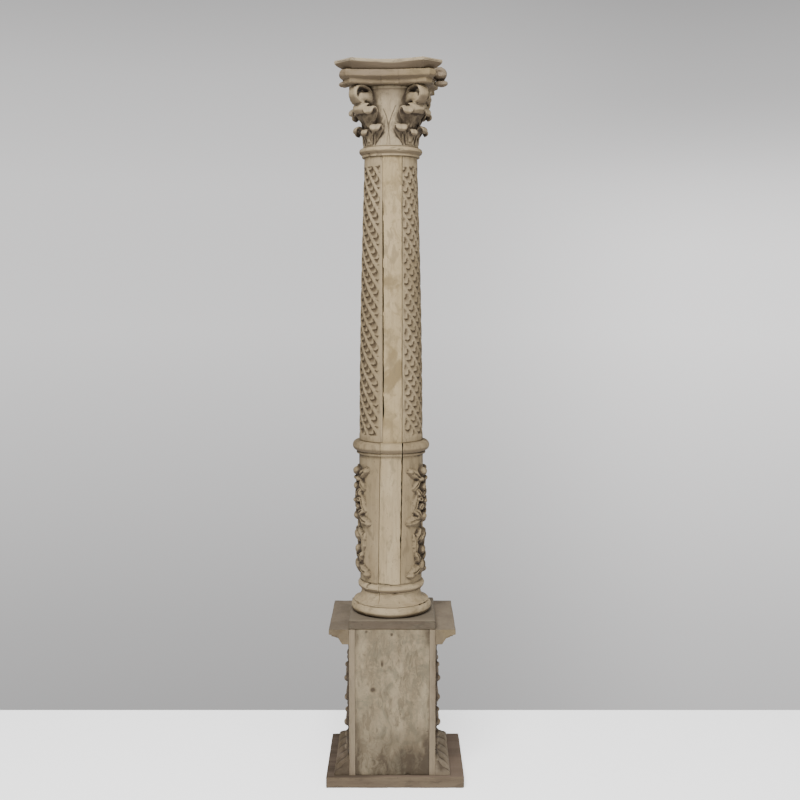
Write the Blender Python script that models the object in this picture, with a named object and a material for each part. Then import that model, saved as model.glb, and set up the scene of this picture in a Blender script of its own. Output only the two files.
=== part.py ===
import bpy
import bmesh
import math
import numpy as np
from mathutils import Vector

# All sizes are in metres. Z is up, the plain rear of the column looks along -Y, +X is to the right
# when the plain rear is seen. The origin is the middle of the box round the whole object, on the floor.

# Clearance between pieces that touch
GAP = 0.0003

# Base board
BOARD_W = 0.463
BOARD_D = 0.383
BOARD_T = 0.040
BOARD_REAR_LEDGE = 0.012

# Hollow pedestal box
DIE_W = 0.2885
DIE_D = 0.296
DIE_H = 0.5005
DIE_SHIFT_X = -0.0095
SIDE_T = 0.020
REAR_PANEL_T = 0.018
FACE_T = 0.022
REAR_PANEL_INSET = 0.001
RELIEF_H = 0.018
RELIEF_MARGIN = 0.014
RELIEF_TOP_CLEAR = 0.034
RELIEF_FOOT_CLEAR = 0.006

# Sloping leaf moulding on the base board
FOOT_OUT = 0.050
FOOT_H = 0.052
FOOT_LIP_H = 0.009
FOOT_TOP_OUT = 0.010
FOOT_LEAF_PITCH = 0.033
FOOT_LEAF_H = 0.0045

# Cap moulding round the head of the pedestal
CAP_OUT = 0.066
CAP_H = 0.050
CAP_FASCIA_H = 0.017
CAP_STEP = 0.009
CAP_LOW_OUT = 0.022

# Square plinth under the turned base, set in a little from the faces of the box
PLINTH_SET_SIDE = 0.00025
PLINTH_SET_FACE = 0.001
PLINTH_T = 0.031

# Column axis, to the left of the middle of the pedestal box
COLUMN_SHIFT_X = -0.0045

# Turned base
TORUS_LOW_R = 0.1365
TORUS_LOW_H = 0.037
BASE_LEDGE_R = 0.1275
SCOTIA_H = 0.043
SCOTIA_R = 0.1005
TORUS_UP_R = 0.113
TORUS_UP_H = 0.027
BASE_TOP_R = 0.1045
BASE_TOP_H = 0.003

# Lower drum with its ring
DRUM_H = 0.4318
DRUM_R_LOW = 0.1050
DRUM_R_TOP = 0.1080
RING_FILLET_R = 0.1165
RING_FILLET_H = 0.009
RING_R = 0.1295
RING_H = 0.036
DRUM_BORE_R = 0.062
DRUM_SEAM_LEFT_TOP = -0.036
DRUM_SEAM_LEFT_LOW = -0.043
DRUM_SEAM_RIGHT_TOP = 0.040
DRUM_SEAM_RIGHT_LOW = 0.032
DRUM_SEAM_GAP = 0.0008
DRUM_CRACK_W = 0.0030
DROP_H = 0.026
DROP_TALL = 0.4318
DROP_AZ = (-78.0, 68.0, 180.0)

# Upper shaft
SHAFT_H = 0.936
SHAFT_R_LOW = 0.1075
SHAFT_R_TOP = 0.0875
SHAFT_SWELL = 1.8
SHAFT_BORE_R = 0.056
SHAFT_SEAM_LEFT = -0.027
SHAFT_SEAM_RIGHT = 0.0386
SHAFT_SEAM_GAP = 0.0012
STAVE_T = 0.026

# Neck ring under the capital
NECK_FILLET_R = 0.0955
NECK_FILLET_H = 0.009
NECK_R = 0.1045
NECK_H = 0.021

# Capital
CAPITAL_TURN = -3.5
BELL_H = 0.193
BELL_R_LOW = 0.0915
BELL_R_MID = 0.0860
BELL_R_TOP = 0.0985
LIP_H = 0.012
LEAF_T = 0.012
LOW_LOBE_AZ = 22.0
LOW_LOBE_Z = 0.054
LOW_LOBE_R = 0.124
UP_LOBE_AZ = 17.0
UP_LOBE_Z = 0.107
UP_LOBE_R = 0.138
TIP_Z = 0.122
TIP_R = 0.150
VOLUTE_R = 0.029
VOLUTE_OUT = 0.131
VOLUTE_W = 0.040
VOLUTE_T = 0.010

# Abacus of two plates
LOW_PLATE_H = 0.042
LOW_PLATE_A = 0.133
LOW_PLATE_B = 0.152
LOW_PLATE_MID = 0.136
LOW_PLATE_STEP = 0.012
LOW_PLATE_STEP_H = 0.020
TOP_PLATE_H = 0.031
TOP_PLATE_A = 0.115
TOP_PLATE_B = 0.173
TOP_PLATE_MID = 0.139
TOP_FILLET_H = 0.008
TOP_COVE_MID = 0.013
TOP_COVE_HORN = 0.034

# Flower bud and tongue in the middle of each carved side of the abacus: azimuth, reach from the axis
FLOWERS = ((90.0, 0.183), (180.0, 0.178), (270.0, 0.168))
BUD_DEEP = 0.048
BUD_W = 0.052
BUD_H = 0.032
BUD_RISE = 0.0155
TONGUE_DEEP = 0.056
TONGUE_W = 0.034
TONGUE_H = 0.018
TONGUE_RISE = 0.025

# Facets
SEG_ROUND = 34
SEG_DRUM = 44
LEVELS_DRUM = 22

# Heights of the joints between pieces
Z_DIE = BOARD_T
Z_PLINTH = Z_DIE + DIE_H
Z_BASE = Z_PLINTH + PLINTH_T
Z_DRUM = Z_BASE + TORUS_LOW_H + SCOTIA_H + TORUS_UP_H + BASE_TOP_H
Z_SHAFT = Z_DRUM + DRUM_H + RING_FILLET_H + RING_H
Z_NECK = Z_SHAFT + SHAFT_H
Z_BELL = Z_NECK + NECK_FILLET_H + NECK_H
Z_LOW_PLATE = Z_BELL + BELL_H
Z_TOP_PLATE = Z_LOW_PLATE + LOW_PLATE_H
Z_TOP = Z_TOP_PLATE + TOP_PLATE_H

# Plan positions
PLINTH_W = DIE_W - 2 * PLINTH_SET_SIDE
PLINTH_D = DIE_D - PLINTH_SET_FACE
TURN = math.radians(CAPITAL_TURN)
HORN_REACH = TOP_PLATE_B * math.cos(TURN) + TOP_PLATE_A * abs(math.sin(TURN))
AXIS_TO_BOARD_FRONT = PLINTH_D / 2 + BOARD_REAR_LEDGE
AXIS_TO_BOARD_BACK = BOARD_D - AXIS_TO_BOARD_FRONT
FRONT_REACH = max(HORN_REACH, AXIS_TO_BOARD_FRONT)
BACK_REACH = max(HORN_REACH, AXIS_TO_BOARD_BACK)
AXIS_Y = (FRONT_REACH - BACK_REACH) / 2
AXIS_X = DIE_SHIFT_X + COLUMN_SHIFT_X
DIE_Y0 = AXIS_Y - PLINTH_D / 2
DIE_Y1 = DIE_Y0 + DIE_D
DIE_X0 = DIE_SHIFT_X - DIE_W / 2
DIE_X1 = DIE_SHIFT_X + DIE_W / 2
BOARD_Y0 = DIE_Y0 - BOARD_REAR_LEDGE
BOARD_Y1 = BOARD_Y0 + BOARD_D
CAP_Z0 = Z_PLINTH - CAP_H

for old in list(bpy.data.objects):
    bpy.data.objects.remove(old, do_unlink=True)


def material(name, colour, roughness):
    mat = bpy.data.materials.new(name)
    mat.use_nodes = True
    shader = mat.node_tree.nodes["Principled BSDF"]
    shader.inputs["Base Color"].default_value = (colour[0], colour[1], colour[2], 1.0)
    shader.inputs["Roughness"].default_value = roughness
    return mat


def finish(name, bm, colour):
    bmesh.ops.remove_doubles(bm, verts=bm.verts[:], dist=0.00001)
    bmesh.ops.triangulate(bm, faces=bm.faces[:], quad_method="BEAUTY", ngon_method="EAR_CLIP")
    bmesh.ops.recalc_face_normals(bm, faces=bm.faces[:])
    mesh = bpy.data.meshes.new(name)
    bm.to_mesh(mesh)
    bm.free()
    obj = bpy.data.objects.new(name, mesh)
    bpy.context.scene.collection.objects.link(obj)
    mesh.materials.append(material("mat_" + name, colour, 0.75))
    return obj


def loft_mesh(rings):
    bm = bmesh.new()
    rows = []
    for ring in rings:
        rows.append([bm.verts.new(Vector(p)) for p in ring])
    for low, high in zip(rows[:-1], rows[1:]):
        n = len(low)
        for i in range(n):
            j = (i + 1) % n
            bm.faces.new((low[i], low[j], high[j], high[i]))
    bm.faces.new(list(reversed(rows[0])))
    bm.faces.new(rows[-1])
    return bm


def box_mesh(x0, x1, y0, y1, z0, z1):
    low = [(x0, y0, z0), (x1, y0, z0), (x1, y1, z0), (x0, y1, z0)]
    high = [(p[0], p[1], z1) for p in low]
    return loft_mesh([low, high])


def circle(r, z, n):
    pts = []
    for i in range(n):
        a = 2 * math.pi * i / n
        pts.append((AXIS_X + r * math.sin(a), AXIS_Y - r * math.cos(a), z))
    return pts


def turned(profile, n):
    return loft_mesh([circle(r, z, n) for r, z in profile])


def bead(r_out, h, z0, bulge, steps):
    """Points of a half-round ring, from its underside up to its upper side."""
    pts = []
    for k in range(steps + 1):
        a = -math.pi / 2 + math.pi * k / steps
        pts.append((r_out - bulge + bulge * math.cos(a), z0 + h / 2 + h / 2 * math.sin(a)))
    return pts


def polar(az, r, z):
    return (AXIS_X + r * math.sin(az), AXIS_Y - r * math.cos(az), z)


# Relief of raised lumps: centre across, centre up, half length, half width, height, lean in degrees
def drop_lumps():
    lumps = [(0, 373, 17, 15, 0.86, 0), (-15, 349, 14, 12, 0.74, 0), (15, 349, 14, 12, 0.74, 0),
             (0, 322, 16, 13, 0.80, 90), (0, 273, 10, 10, 0.92, 0), (0, 223, 15, 14, 0.85, 90),
             (0, 152, 24, 17, 1.00, 90), (0, 108, 17, 13, 0.70, 90), (0, 52, 26, 19, 0.92, 90),
             (0, 190, 50, 5, 0.35, 90), (0, 300, 50, 5, 0.35, 90)]
    for k in range(5):
        a = math.radians(90 + 72 * k)
        lumps.append((22 * math.cos(a), 273 + 22 * math.sin(a), 15, 10, 0.80, math.degrees(a)))
    for s in (-1, 1):
        lumps.append((s * 42, 366, 24, 10, 0.50, s * 35))
        lumps.append((s * 38, 262, 31, 8, 0.42, 90 + s * 14))
        lumps.append((s * 40, 206, 32, 10, 0.56, -s * 14))
        lumps.append((s * 38, 118, 42, 6, 0.36, 90 - s * 12))
        lumps.append((s * 36, 34, 28, 11, 0.55, -s * 24))
    return [(u / 1000, v / 1000, a / 1000, b / 1000, h, math.radians(t)) for u, v, a, b, h, t in lumps]


def panel_lumps(w, h):
    """Leaf scrolls rising from the foot to a flower in the upper half of a side face."""
    lumps = [(0.0, 0.66, 0.105, 0.105, 0.80, 0), (0.0, 0.14, 0.13, 0.085, 0.72, 90),
             (0.0, 0.90, 0.13, 0.075, 0.60, 0), (0.0, 0.40, 0.11, 0.080, 0.85, 90)]
    for k in range(6):
        a = math.radians(30 + 60 * k)
        rise = 0.66 + 0.20 * math.sin(a) * w / h
        lumps.append((0.20 * math.cos(a), rise, 0.12, 0.075, 0.70, math.degrees(a)))
    for s in (-1, 1):
        lumps.append((s * 0.36, 0.90, 0.15, 0.065, 0.62, s * 24))
        lumps.append((s * 0.38, 0.76, 0.12, 0.060, 0.86, s * 64))
        lumps.append((s * 0.39, 0.58, 0.13, 0.065, 0.78, s * 100))
        lumps.append((s * 0.30, 0.46, 0.15, 0.060, 0.66, s * 35))
        lumps.append((s * 0.38, 0.36, 0.13, 0.065, 0.92, s * 80))
        lumps.append((s * 0.24, 0.26, 0.15, 0.060, 0.66, s * 48))
        lumps.append((s * 0.37, 0.15, 0.14, 0.065, 0.84, s * 106))
        lumps.append((s * 0.28, 0.045, 0.17, 0.060, 0.60, s * 8))
    out = []
    for u, v, a, b, k, t in lumps:
        out.append((u * w, v * h, a * w, b * w, k, math.radians(t)))
    return out


def raised(lumps, u, v, height):
    best = 0.0
    for cu, cv, a, b, k, t in lumps:
        du = u - cu
        dv = v - cv
        p = (du * math.cos(t) + dv * math.sin(t)) / a
        q = (-du * math.sin(t) + dv * math.cos(t)) / b
        e = 1 - p * p - q * q
        if e > 0:
            best = max(best, k * height * math.sqrt(e))
    return best


# Base board
finish("base_board", box_mesh(-BOARD_W / 2, BOARD_W / 2, BOARD_Y0, BOARD_Y1, 0, Z_DIE - GAP),
       (0.36, 0.29, 0.21))

# Pedestal box: two side boards, a face board between them and the plain rear panel
finish("rear_panel",
       box_mesh(DIE_X0 + SIDE_T + GAP, DIE_X1 - SIDE_T - GAP, DIE_Y0 + REAR_PANEL_INSET,
                DIE_Y0 + REAR_PANEL_INSET + REAR_PANEL_T, Z_DIE, Z_PLINTH - GAP),
       (0.42, 0.37, 0.28))


def carved_board(width, place):
    """A board with raised carving on its outer face; place turns across, out and up into X, Y, Z."""
    z_low = Z_DIE + FOOT_H + RELIEF_FOOT_CLEAR
    z_high = CAP_Z0 - RELIEF_TOP_CLEAR
    span_w = width - 2 * RELIEF_MARGIN
    span_h = z_high - z_low
    lumps = panel_lumps(span_w, span_h)
    cols = 10
    rows = 22
    us = [-width / 2] + [-span_w / 2 + span_w * i / cols for i in range(cols + 1)] + [width / 2]
    vs = [Z_DIE] + [z_low + span_h * j / rows for j in range(rows + 1)] + [Z_PLINTH - GAP]
    bm = bmesh.new()
    grid = []
    for j, v in enumerate(vs):
        line = []
        for i, u in enumerate(us):
            inside = 1 < i < len(us) - 2 and 1 < j < len(vs) - 2
            d = raised(lumps, u, v - z_low, RELIEF_H) if inside else 0.0
            line.append(bm.verts.new(place(u, d, v)))
        grid.append(line)
    for j in range(len(vs) - 1):
        for i in range(len(us) - 1):
            bm.faces.new((grid[j][i], grid[j][i + 1], grid[j + 1][i + 1], grid[j + 1][i]))
    return bm, grid


def side_board(name, side):
    x_out = DIE_X0 if side < 0 else DIE_X1
    mid = (DIE_Y0 + DIE_Y1) / 2

    def place(u, d, v):
        return Vector((x_out + side * d, mid + u, v))

    bm, grid = carved_board(DIE_D, place)
    x_in = x_out - side * SIDE_T
    close_board(bm, grid, lambda p: Vector((x_in, p.y, p.z)))
    return finish(name, bm, (0.40, 0.34, 0.25))


def close_board(bm, grid, back):
    edge = list(grid[0]) + [row[-1] for row in grid[1:]] + list(reversed(grid[-1][:-1]))
    edge += [row[0] for row in reversed(grid[1:-1])]
    rear = [bm.verts.new(back(v.co)) for v in edge]
    n = len(edge)
    for i in range(n):
        j = (i + 1) % n
        bm.faces.new((edge[j], edge[i], rear[i], rear[j]))
    bm.faces.new(rear)


side_board("side_board_left", -1)
side_board("side_board_right", 1)


def face_place(u, d, v):
    return Vector((DIE_SHIFT_X - u, DIE_Y1 + d, v))


face_bm, face_grid = carved_board(DIE_W - 2 * SIDE_T - 2 * GAP, face_place)
close_board(face_bm, face_grid, lambda p: Vector((p.x, DIE_Y1 - FACE_T, p.z)))
finish("face_board", face_bm, (0.40, 0.34, 0.25))


# Mouldings run round three sides of the box and stop flush with its rear
def moulding(name, side, profile, leaf, colour):
    """Profile points are (out from the box, height); leaf gives extra outward relief along the run."""
    half_w = DIE_W / 2
    length = DIE_D if side != 0 else DIE_W
    steps = 2 if leaf is None else 2 + 3 * max(2, round(length / FOOT_LEAF_PITCH))
    rings = []
    for k in range(steps + 1):
        t = k / steps
        ring = []
        for out, z in profile:
            extra = 0.0 if leaf is None else leaf(t * length, out, z)
            o = out + extra + GAP
            if side == 0:
                ring.append((DIE_SHIFT_X + (t * 2 - 1) * (half_w + o), DIE_Y1 + o, z))
            else:
                run = DIE_D + o - 1.5 * GAP
                ring.append((DIE_SHIFT_X + side * (half_w + o), DIE_Y0 + t * run, z))
        rings.append(ring)
    return finish(name, loft_mesh(rings), colour)


def foot_profile():
    z0 = Z_DIE
    pts = [(0.0, z0), (FOOT_OUT, z0), (FOOT_OUT, z0 + FOOT_LIP_H)]
    for k in range(1, 5):
        t = k / 5
        out = FOOT_OUT + (FOOT_TOP_OUT - FOOT_OUT) * t + 0.006 * math.sin(2 * math.pi * t)
        pts.append((out, z0 + FOOT_LIP_H + (FOOT_H - FOOT_LIP_H) * t))
    pts += [(FOOT_TOP_OUT, z0 + FOOT_H), (0.0, z0 + FOOT_H)]
    return pts


def foot_leaf(s, out, z):
    t = (z - Z_DIE - FOOT_LIP_H) / (FOOT_H - FOOT_LIP_H)
    if t <= 0.02 or t >= 0.98 or out <= 0.001:
        return 0.0
    wave = abs(math.sin(math.pi * s / FOOT_LEAF_PITCH))
    return -FOOT_LEAF_H * (1 - wave) * math.sin(math.pi * t)


def cap_profile():
    z1 = Z_PLINTH - GAP
    return [(0.0, CAP_Z0), (CAP_LOW_OUT, CAP_Z0), (CAP_LOW_OUT + 0.004, CAP_Z0 + 0.008),
            (CAP_LOW_OUT + 0.014, CAP_Z0 + 0.017), (CAP_OUT - CAP_STEP, z1 - CAP_FASCIA_H - 0.006),
            (CAP_OUT - CAP_STEP, z1 - CAP_FASCIA_H), (CAP_OUT, z1 - CAP_FASCIA_H), (CAP_OUT, z1),
            (0.0, z1)]


for tag, side in (("left", -1), ("right", 1), ("face", 0)):
    moulding("foot_moulding_" + tag, side, foot_profile(), foot_leaf, (0.36, 0.30, 0.21))
    moulding("cap_moulding_" + tag, side, cap_profile(), None, (0.38, 0.32, 0.22))

# Plinth
finish("plinth", box_mesh(AXIS_X - PLINTH_W / 2 - COLUMN_SHIFT_X, AXIS_X + PLINTH_W / 2 - COLUMN_SHIFT_X,
                          DIE_Y0, DIE_Y0 + PLINTH_D, Z_PLINTH, Z_BASE - GAP), (0.40, 0.34, 0.26))

# Turned base
base_profile = bead(TORUS_LOW_R, TORUS_LOW_H - GAP, Z_BASE, TORUS_LOW_H / 2, 5)
z = Z_BASE + TORUS_LOW_H
base_profile += [(BASE_LEDGE_R, z), (BASE_LEDGE_R, z + 0.003)]
for k in range(1, 5):
    a = math.pi / 2 * k / 5
    base_profile.append((BASE_LEDGE_R - (BASE_LEDGE_R - SCOTIA_R) * math.sin(a),
                         z + SCOTIA_H - 0.008 - (SCOTIA_H - 0.011) * math.cos(a)))
z += SCOTIA_H
base_profile += [(SCOTIA_R, z - 0.006), (SCOTIA_R + 0.003, z - 0.003)]
base_profile += bead(TORUS_UP_R, TORUS_UP_H, z, TORUS_UP_H / 2, 5)
z += TORUS_UP_H
base_profile += [(BASE_TOP_R - 0.002, z + 0.0005), (BASE_TOP_R - 0.002, z + BASE_TOP_H - GAP)]
finish("turned_base", turned(base_profile, SEG_ROUND), (0.44, 0.38, 0.29))


# Drum and shaft are hollow behind, and a long stave closes the opening
def open_section(z, r_of_az, bore, x_left, x_right, n_out, n_in, r_edge):
    a0 = math.asin(x_right / r_edge)
    a1 = 2 * math.pi + math.asin(x_left / r_edge)
    pts = []
    for i in range(n_out + 1):
        az = a0 + (a1 - a0) * i / n_out
        pts.append(polar(az, r_of_az(az), z))
    b0 = math.asin(x_right / bore)
    b1 = 2 * math.pi + math.asin(x_left / bore)
    for i in range(n_in + 1):
        az = b1 + (b0 - b1) * i / n_in
        pts.append(polar(az, bore, z))
    return pts


def stave_section(z, r, bore, x_left, x_right, n):
    a0 = math.asin(x_left / r)
    a1 = math.asin(x_right / r)
    pts = []
    for i in range(n + 1):
        pts.append(polar(a0 + (a1 - a0) * i / n, r, z))
    y_in = AXIS_Y - bore
    pts.append((AXIS_X + x_right, y_in, z))
    pts.append((AXIS_X + x_left, y_in, z))
    return pts


def drum_profile():
    levels = []
    for k in range(LEVELS_DRUM + 1):
        t = k / LEVELS_DRUM
        levels.append((DRUM_R_LOW + (DRUM_R_TOP - DRUM_R_LOW) * t, Z_DRUM + DRUM_H * t, True))
    z0 = Z_DRUM + DRUM_H
    levels += [(RING_FILLET_R, z0 + 0.0004, False), (RING_FILLET_R, z0 + RING_FILLET_H - 0.0004, False)]
    for r, zz in bead(RING_R, RING_H - GAP - 0.001, z0 + RING_FILLET_H + 0.001, 0.016, 6):
        levels.append((r, zz, False))
    return levels


def seam_at(low, top, z):
    return low + (top - low) * (z - Z_DRUM) / DRUM_H


DROPS = drop_lumps()


def drum_relief(az, z):
    v = z - Z_DRUM
    best = 0.0
    for centre in DROP_AZ:
        d = (math.degrees(az) - centre + 180) % 360 - 180
        u = math.radians(d) * DRUM_R_TOP
        if abs(u) < 0.072:
            best = max(best, raised(DROPS, u, v * DROP_TALL / DRUM_H, DROP_H))
    return best


rings = []
stave = []
for r, zz, carved in drum_profile():
    left = seam_at(DRUM_SEAM_LEFT_LOW, DRUM_SEAM_LEFT_TOP, zz)
    right = seam_at(DRUM_SEAM_RIGHT_LOW, DRUM_SEAM_RIGHT_TOP, zz)

    def reach(az, r=r, zz=zz, carved=carved):
        return r + (drum_relief(az, zz) if carved else 0.0)

    rings.append(open_section(zz, reach, DRUM_BORE_R, left, right, SEG_DRUM, 11, r))
    if not carved or abs(zz - Z_DRUM) < 1e-6 or abs(zz - Z_DRUM - DRUM_H) < 1e-6:
        stave.append(stave_section(zz, r, DRUM_BORE_R + 0.004, left + DRUM_SEAM_GAP,
                                   right - DRUM_CRACK_W, 6))
finish("drum", loft_mesh(rings), (0.44, 0.39, 0.29))
finish("drum_stave", loft_mesh(stave), (0.45, 0.40, 0.30))


def shaft_r(t):
    return SHAFT_R_LOW + (SHAFT_R_TOP - SHAFT_R_LOW) * t ** SHAFT_SWELL


rings = []
stave = []
for k in range(11):
    t = k / 10
    zz = Z_SHAFT + (SHAFT_H - GAP) * t
    r = shaft_r(t)
    rings.append(open_section(zz, lambda az, r=r: r, SHAFT_BORE_R, SHAFT_SEAM_LEFT, SHAFT_SEAM_RIGHT,
                              SEG_ROUND - 4, 12, r))
    stave.append(stave_section(zz, r, r - STAVE_T, SHAFT_SEAM_LEFT + SHAFT_SEAM_GAP,
                               SHAFT_SEAM_RIGHT - SHAFT_SEAM_GAP, 4))
finish("shaft", loft_mesh(rings), (0.44, 0.38, 0.29))
finish("shaft_stave", loft_mesh(stave), (0.47, 0.42, 0.32))

# Neck ring
neck = [(NECK_FILLET_R, Z_NECK), (NECK_FILLET_R, Z_NECK + NECK_FILLET_H)]
neck += bead(NECK_R, NECK_H - GAP, Z_NECK + NECK_FILLET_H, NECK_H / 2, 5)[1:]
finish("neck_ring", turned(neck, SEG_ROUND), (0.45, 0.39, 0.30))


# Capital: a bell with four corner leaves that carry the corner scrolls
def strip(path, section):
    """Path entries: (reach, height, half width, half thickness, azimuth); section is a flat hexagon."""
    rings = []
    n = len(path)
    for i, (rho, zz, w, th, az) in enumerate(path):
        a = path[max(0, i - 1)]
        b = path[min(n - 1, i + 1)]
        tx = b[0] - a[0]
        tz = b[1] - a[1]
        size = math.hypot(tx, tz)
        nx = tz / size
        nz = -tx / size
        c = math.cos(az)
        s = math.sin(az)
        ring = []
        for u, v in section:
            reach = rho + nx * v * th
            height = zz + nz * v * th
            ring.append((reach * s + u * w * c, -reach * c + u * w * s, height))
        rings.append(ring)
    return loft_mesh(rings)


HEX = ((-1.0, 0.0), (-0.55, -1.0), (0.55, -1.0), (1.0, 0.0), (0.55, 1.0), (-0.55, 1.0))
FOLD = ((-1.0, -0.5), (-0.5, -0.9), (0.0, -1.3), (0.5, -0.9), (1.0, -0.5),
        (0.55, 0.9), (0.0, 0.5), (-0.55, 0.9))


def curl(foot_r, foot_z, tip_r, tip_z, w, th, az, az_tip, curl_r, steps):
    """A leaf that rises along the bell, leans out and turns over at its tip."""
    path = []
    rise = 4
    top_r = tip_r - curl_r
    for k in range(rise):
        t = k / rise
        path.append((foot_r + (top_r - foot_r - curl_r) * t ** 1.7, foot_z + (tip_z - foot_z) * t,
                     w * (0.75 + 0.25 * math.sin(math.pi * t)), th, az + (az_tip - az) * t))
    for k in range(steps + 1):
        a = math.pi - math.radians(215) * k / steps
        shrink = 1 - 0.45 * k / steps
        path.append((top_r + curl_r * math.cos(a), tip_z + curl_r * math.sin(a), w * shrink,
                     th * (1 - 0.3 * k / steps), az_tip))
    return path


def corner_strips(az):
    pieces = []
    th = LEAF_T / 2
    body = [(BELL_R_LOW - 0.002, 0.0035, 0.036, th * 1.2, az),
            (BELL_R_LOW + 0.003, 0.030, 0.037, th * 1.3, az),
            (BELL_R_LOW + 0.008, 0.055, 0.030, th * 1.2, az),
            (BELL_R_LOW + 0.013, 0.078, 0.025, th * 1.1, az)]
    top = TIP_R - 0.016
    body.append((BELL_R_LOW + 0.024, 0.102, 0.030, th, az))
    for k in range(6):
        a = math.pi * 0.80 - math.radians(190) * k / 5
        body.append((top + 0.016 * math.cos(a), TIP_Z + 0.014 * math.sin(a),
                     0.029 - 0.0022 * k, th * (1 - 0.06 * k), az))
    pieces.append((body, FOLD))
    for s in (-1, 1):
        low = az + s * math.radians(LOW_LOBE_AZ)
        pieces.append((curl(BELL_R_LOW - 0.002, 0.006, LOW_LOBE_R, LOW_LOBE_Z, 0.017, th, az + s * 0.26, low,
                            0.0115, 4), HEX))
        up = az + s * math.radians(UP_LOBE_AZ)
        pieces.append((curl(BELL_R_LOW + 0.002, 0.066, UP_LOBE_R, UP_LOBE_Z, 0.016, th, az + s * 0.12, up,
                            0.0125, 4), HEX))
    scroll = []
    zc = BELL_H - VOLUTE_R - VOLUTE_T / 2 - 0.0015
    for k in range(3):
        t = k / 3
        scroll.append((BELL_R_MID + 0.002 + 0.012 * t * t, 0.100 + (zc - 0.106) * t,
                       VOLUTE_W * (0.34 + 0.10 * t), VOLUTE_T / 2, az))
    turns = 1.55
    count = 17
    for k in range(count + 1):
        t = k / count
        a = math.radians(172) - 2 * math.pi * turns * t
        rr = VOLUTE_R * (1 - 0.74 * t)
        wide = VOLUTE_W / 2 * (1.0 - 0.12 * math.sin(math.pi * t))
        scroll.append((VOLUTE_OUT + rr * math.cos(a), zc + rr * math.sin(a), wide,
                       VOLUTE_T / 2 * (1 - 0.42 * t), az))
    pieces.append((scroll, HEX))
    return pieces


bell_profile = [(BELL_R_LOW, 0.0), (BELL_R_LOW, 0.006), (BELL_R_MID + 0.002, 0.040), (BELL_R_MID, 0.085),
                (BELL_R_MID + 0.002, 0.130), (BELL_R_TOP - 0.007, BELL_H - LIP_H - 0.014),
                (BELL_R_TOP - 0.002, BELL_H - LIP_H), (BELL_R_TOP, BELL_H - LIP_H + 0.003),
                (BELL_R_TOP, BELL_H - GAP - 0.002), (BELL_R_TOP - 0.003, BELL_H - GAP)]
bell_rings = []
for r, zz in bell_profile:
    ring = []
    for i in range(32):
        a = 2 * math.pi * (i + 0.5) / 32
        ring.append((r * math.sin(a), -r * math.cos(a), zz))
    bell_rings.append(ring)


def plain_object(name, bm):
    bmesh.ops.triangulate(bm, faces=bm.faces[:], quad_method="BEAUTY", ngon_method="EAR_CLIP")
    bmesh.ops.recalc_face_normals(bm, faces=bm.faces[:])
    mesh = bpy.data.meshes.new(name)
    bm.to_mesh(mesh)
    bm.free()
    obj = bpy.data.objects.new(name, mesh)
    bpy.context.scene.collection.objects.link(obj)
    return obj


def merged(objects):
    """Union of closed solids into one mesh."""
    main = objects[0]
    for other in objects[1:]:
        mod = main.modifiers.new("join", "BOOLEAN")
        mod.operation = "UNION"
        mod.solver = "EXACT"
        mod.object = other
    bpy.context.view_layer.update()
    graph = bpy.context.evaluated_depsgraph_get()
    mesh = bpy.data.meshes.new_from_object(main.evaluated_get(graph))
    for obj in objects:
        bpy.data.objects.remove(obj, do_unlink=True)
    bm = bmesh.new()
    bm.from_mesh(mesh)
    bmesh.ops.remove_doubles(bm, verts=bm.verts[:], dist=0.00005)
    bmesh.ops.dissolve_degenerate(bm, edges=bm.edges[:], dist=0.00005)
    return bm


parts = [plain_object("bell", loft_mesh(bell_rings))]
for corner in range(4):
    az = math.radians(45 + 90 * corner)
    for path, section in corner_strips(az):
        parts.append(plain_object("strip", strip(path, section)))
capital_bm = merged(parts)
ct = math.cos(TURN)
st = math.sin(TURN)
for v in capital_bm.verts:
    x = v.co.x
    y = v.co.y
    v.co = Vector((AXIS_X + x * ct - y * st, AXIS_Y + x * st + y * ct, Z_BELL + v.co.z))
finish("capital", capital_bm, (0.42, 0.37, 0.28))


# Abacus plates with hollowed sides and cut corners
def plate_outline(a, b, mid, z, steps):
    pts = []
    for q in range(4):
        c = math.cos(q * math.pi / 2 + TURN)
        s = math.sin(q * math.pi / 2 + TURN)
        for i in range(steps + 1):
            x = -a + 2 * a * i / steps
            y = -mid - (b - mid) * (x / a) ** 2
            pts.append((AXIS_X + x * c - y * s, AXIS_Y + x * s + y * c, z))
    return pts


def egg(az, out, z, deep, wide, high):
    """Rounded knob that points away from the axis, built with few facets."""
    c = math.cos(TURN)
    s = math.sin(TURN)
    rings = []
    for k in range(1, 5):
        b = -math.pi / 2 + math.pi * k / 5
        reach = out - deep / 2 + deep / 2 * math.sin(b) / math.cos(math.pi / 5)
        ring = []
        for j in range(8):
            a = 2 * math.pi * (j + 0.5) / 8
            across = wide / 2 * math.cos(b) * math.cos(a)
            x = reach * math.sin(az) + across * math.cos(az)
            y = -reach * math.cos(az) + across * math.sin(az)
            up = high / 2 * math.cos(b) * math.sin(a)
            ring.append((AXIS_X + x * c - y * s, AXIS_Y + x * s + y * c, z + up))
        rings.append(ring)
    return plain_object("egg", loft_mesh(rings))


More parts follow.
